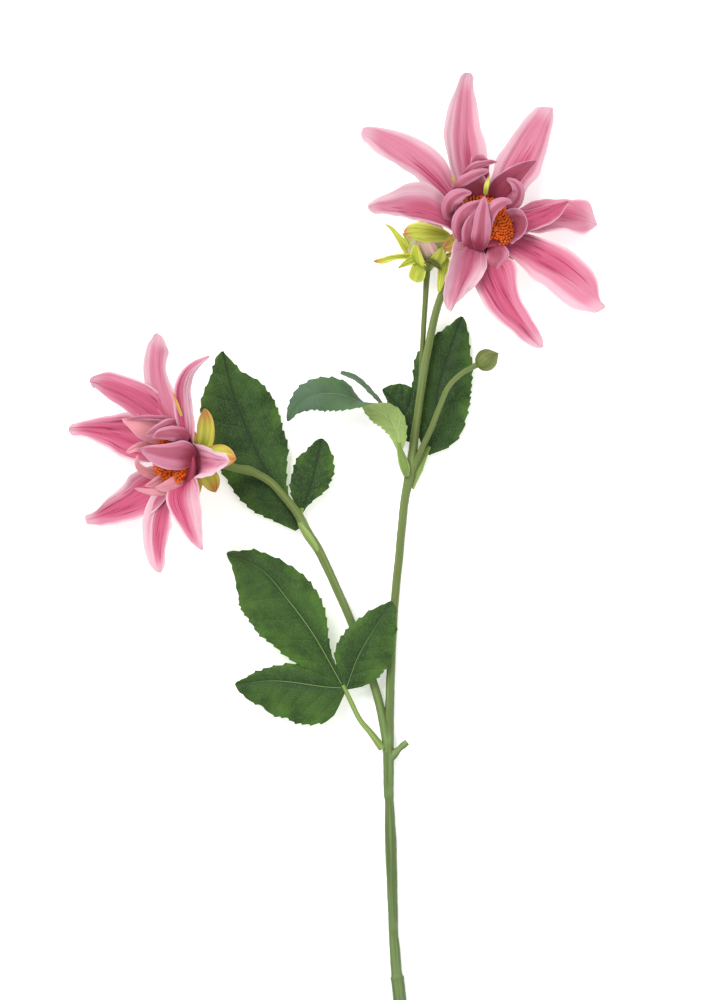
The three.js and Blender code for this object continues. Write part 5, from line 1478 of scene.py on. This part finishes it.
class DAHLIA_OT_buds(bpy.types.Operator):
    """Adds the half-open bud with its bracts, and the closed green bud"""
    bl_idname = "dahlia.buds"
    bl_label = "Buds"

    def execute(self, context):
        buds, sepals = context.scene.dahlia_buds, context.scene.dahlia_sepals
        petals = streaked_material("bud_petals", buds.cream, buds.flush, buds.green, stretch=3.0,
                                   roughness=0.55)
        bracts = green_tone("bud_bracts", sepals, (sepals.rim, 0.12, 0.74))
        build_half_open_bud(petals, bracts)
        build_green_bud(streaked_material("closed_bud", buds.bud, buds.bud_streak, buds.bud_light,
                                          stretch=2.5))
        return {"FINISHED"}


class DAHLIA_OT_leaves(bpy.types.Operator):
    """Adds the compound leaves with their petioles"""
    bl_idname = "dahlia.leaves"
    bl_label = "Leaves"

    def execute(self, context):
        settings = context.scene.dahlia_leaves
        blades = leaf_material("leaf_blades", settings)
        stalks = streaked_material("petioles", settings.stalk, settings.stalk_streak, settings.stalk_light)
        for index, name in enumerate(LEAVES):
            build_leaf(name, blades, stalks, 10 * index + 1)
        return {"FINISHED"}


class DAHLIA_OT_studio(bpy.types.Operator):
    """Adds the pale floor, the soft lamps and the camera that looks straight down"""
    bl_idname = "dahlia.studio"
    bl_label = "Studio"

    def execute(self, context):
        build_studio(context.scene.dahlia_studio)
        return {"FINISHED"}


def build_studio(settings):
    scene = bpy.context.scene
    mesh = bpy.data.meshes.new("floor")
    wide, below = 6.0, -0.0002
    corners = [(-wide, -wide, below), (wide, -wide, below), (wide, wide, below), (-wide, wide, below)]
    mesh.from_pydata(corners, [], [(0, 1, 2, 3)])
    material, nodes, shader = new_material("floor", 0.7)
    place = nodes.add("ShaderNodeTexCoord").outputs["Object"]
    cloud = nodes.noise(place, 3.0)
    tone = nodes.mix(nodes.between(cloud, 0.3, 0.7), settings.floor, (0.96, 0.96, 0.96))
    nodes.feed(shader.inputs["Base Color"], tone)
    shader.inputs["Emission Color"].default_value = (1, 1, 1, 1)
    shader.inputs["Emission Strength"].default_value = settings.floor_glow
    mesh.materials.append(material)
    floor = bpy.data.objects.new("floor", mesh)
    scene.collection.objects.link(floor)

    lamps = (("key_lamp", (-0.9, 1.1, 2.0), 1.4, 1.1), ("fill_lamp", (1.3, -0.7, 1.8), 1.8, 0.3))
    for name, place, size, share in lamps:
        lamp = bpy.data.lights.new(name, "AREA")
        lamp.shape = "DISK"
        lamp.size = size
        lamp.energy = settings.light_power * share
        holder = bpy.data.objects.new(name, lamp)
        holder.location = place
        aim = -unit(np.array(place))
        holder.rotation_euler = (math.atan2(math.hypot(aim[0], aim[1]), -aim[2]), 0,
                                 math.atan2(aim[1], aim[0]) - math.pi / 2)
        scene.collection.objects.link(holder)

    world = bpy.data.worlds.new("surround")
    world.use_nodes = True
    background = world.node_tree.nodes["Background"]
    background.inputs["Color"].default_value = (1, 1, 1, 1)
    background.inputs["Strength"].default_value = settings.surround
    scene.world = world
    scene.view_settings.view_transform = "Standard"

    # The picture's long side is half a metre at this level over the table
    long_side, level = 0.5, 0.03
    camera = bpy.data.cameras.new("camera")
    camera.sensor_width = 36
    camera.lens = camera.sensor_width * (settings.camera_height - level) / long_side
    camera.clip_start, camera.clip_end = 0.1, 20
    holder = bpy.data.objects.new("camera", camera)
    holder.location = (LAYOUT_SHIFT[0] * MILLIMETRE, LAYOUT_SHIFT[1] * MILLIMETRE, settings.camera_height)
    scene.collection.objects.link(holder)
    scene.camera = holder


class DAHLIA_PT_panel(bpy.types.Panel):
    """Lists the dahlia's pieces"""
    bl_idname = "DAHLIA_PT_panel"
    bl_label = "Dahlia spray"
    bl_space_type = "VIEW_3D"
    bl_region_type = "UI"
    bl_category = "Dahlia"

    def draw(self, context):
        for operator in OPERATORS:
            self.layout.operator(operator.bl_idname, text=operator.bl_label)
        for name, group in SETTINGS.items():
            box = self.layout.box()
            box.label(text=name.replace("dahlia_", "").capitalize())
            for key in group.__annotations__:
                box.prop(getattr(context.scene, name), key)


SETTINGS = {
    "dahlia_rays": RaySettings,
    "dahlia_inner": InnerSettings,
    "dahlia_disc": DiscSettings,
    "dahlia_sepals": SepalSettings,
    "dahlia_buds": BudSettings,
    "dahlia_leaves": LeafSettings,
    "dahlia_stem": StemSettings,
    "dahlia_studio": StudioSettings,
}
OPERATORS = (
    DAHLIA_OT_stem,
    DAHLIA_OT_ray_petals,
    DAHLIA_OT_inner_petals,
    DAHLIA_OT_discs,
    DAHLIA_OT_sepals,
    DAHLIA_OT_buds,
    DAHLIA_OT_leaves,
    DAHLIA_OT_studio,
)


def register():
    for group in (*SETTINGS.values(), *OPERATORS, DAHLIA_PT_panel):
        bpy.utils.register_class(group)
    for name, group in SETTINGS.items():
        setattr(bpy.types.Scene, name, bpy.props.PointerProperty(type=group))


def unregister():
    for name in SETTINGS:
        delattr(bpy.types.Scene, name)
    for group in reversed((*SETTINGS.values(), *OPERATORS, DAHLIA_PT_panel)):
        bpy.utils.unregister_class(group)


def main():
    register()
    for operator in OPERATORS:
        module, name = operator.bl_idname.split(".")
        getattr(getattr(bpy.ops, module), name)()


if __name__ == "__main__":
    main()
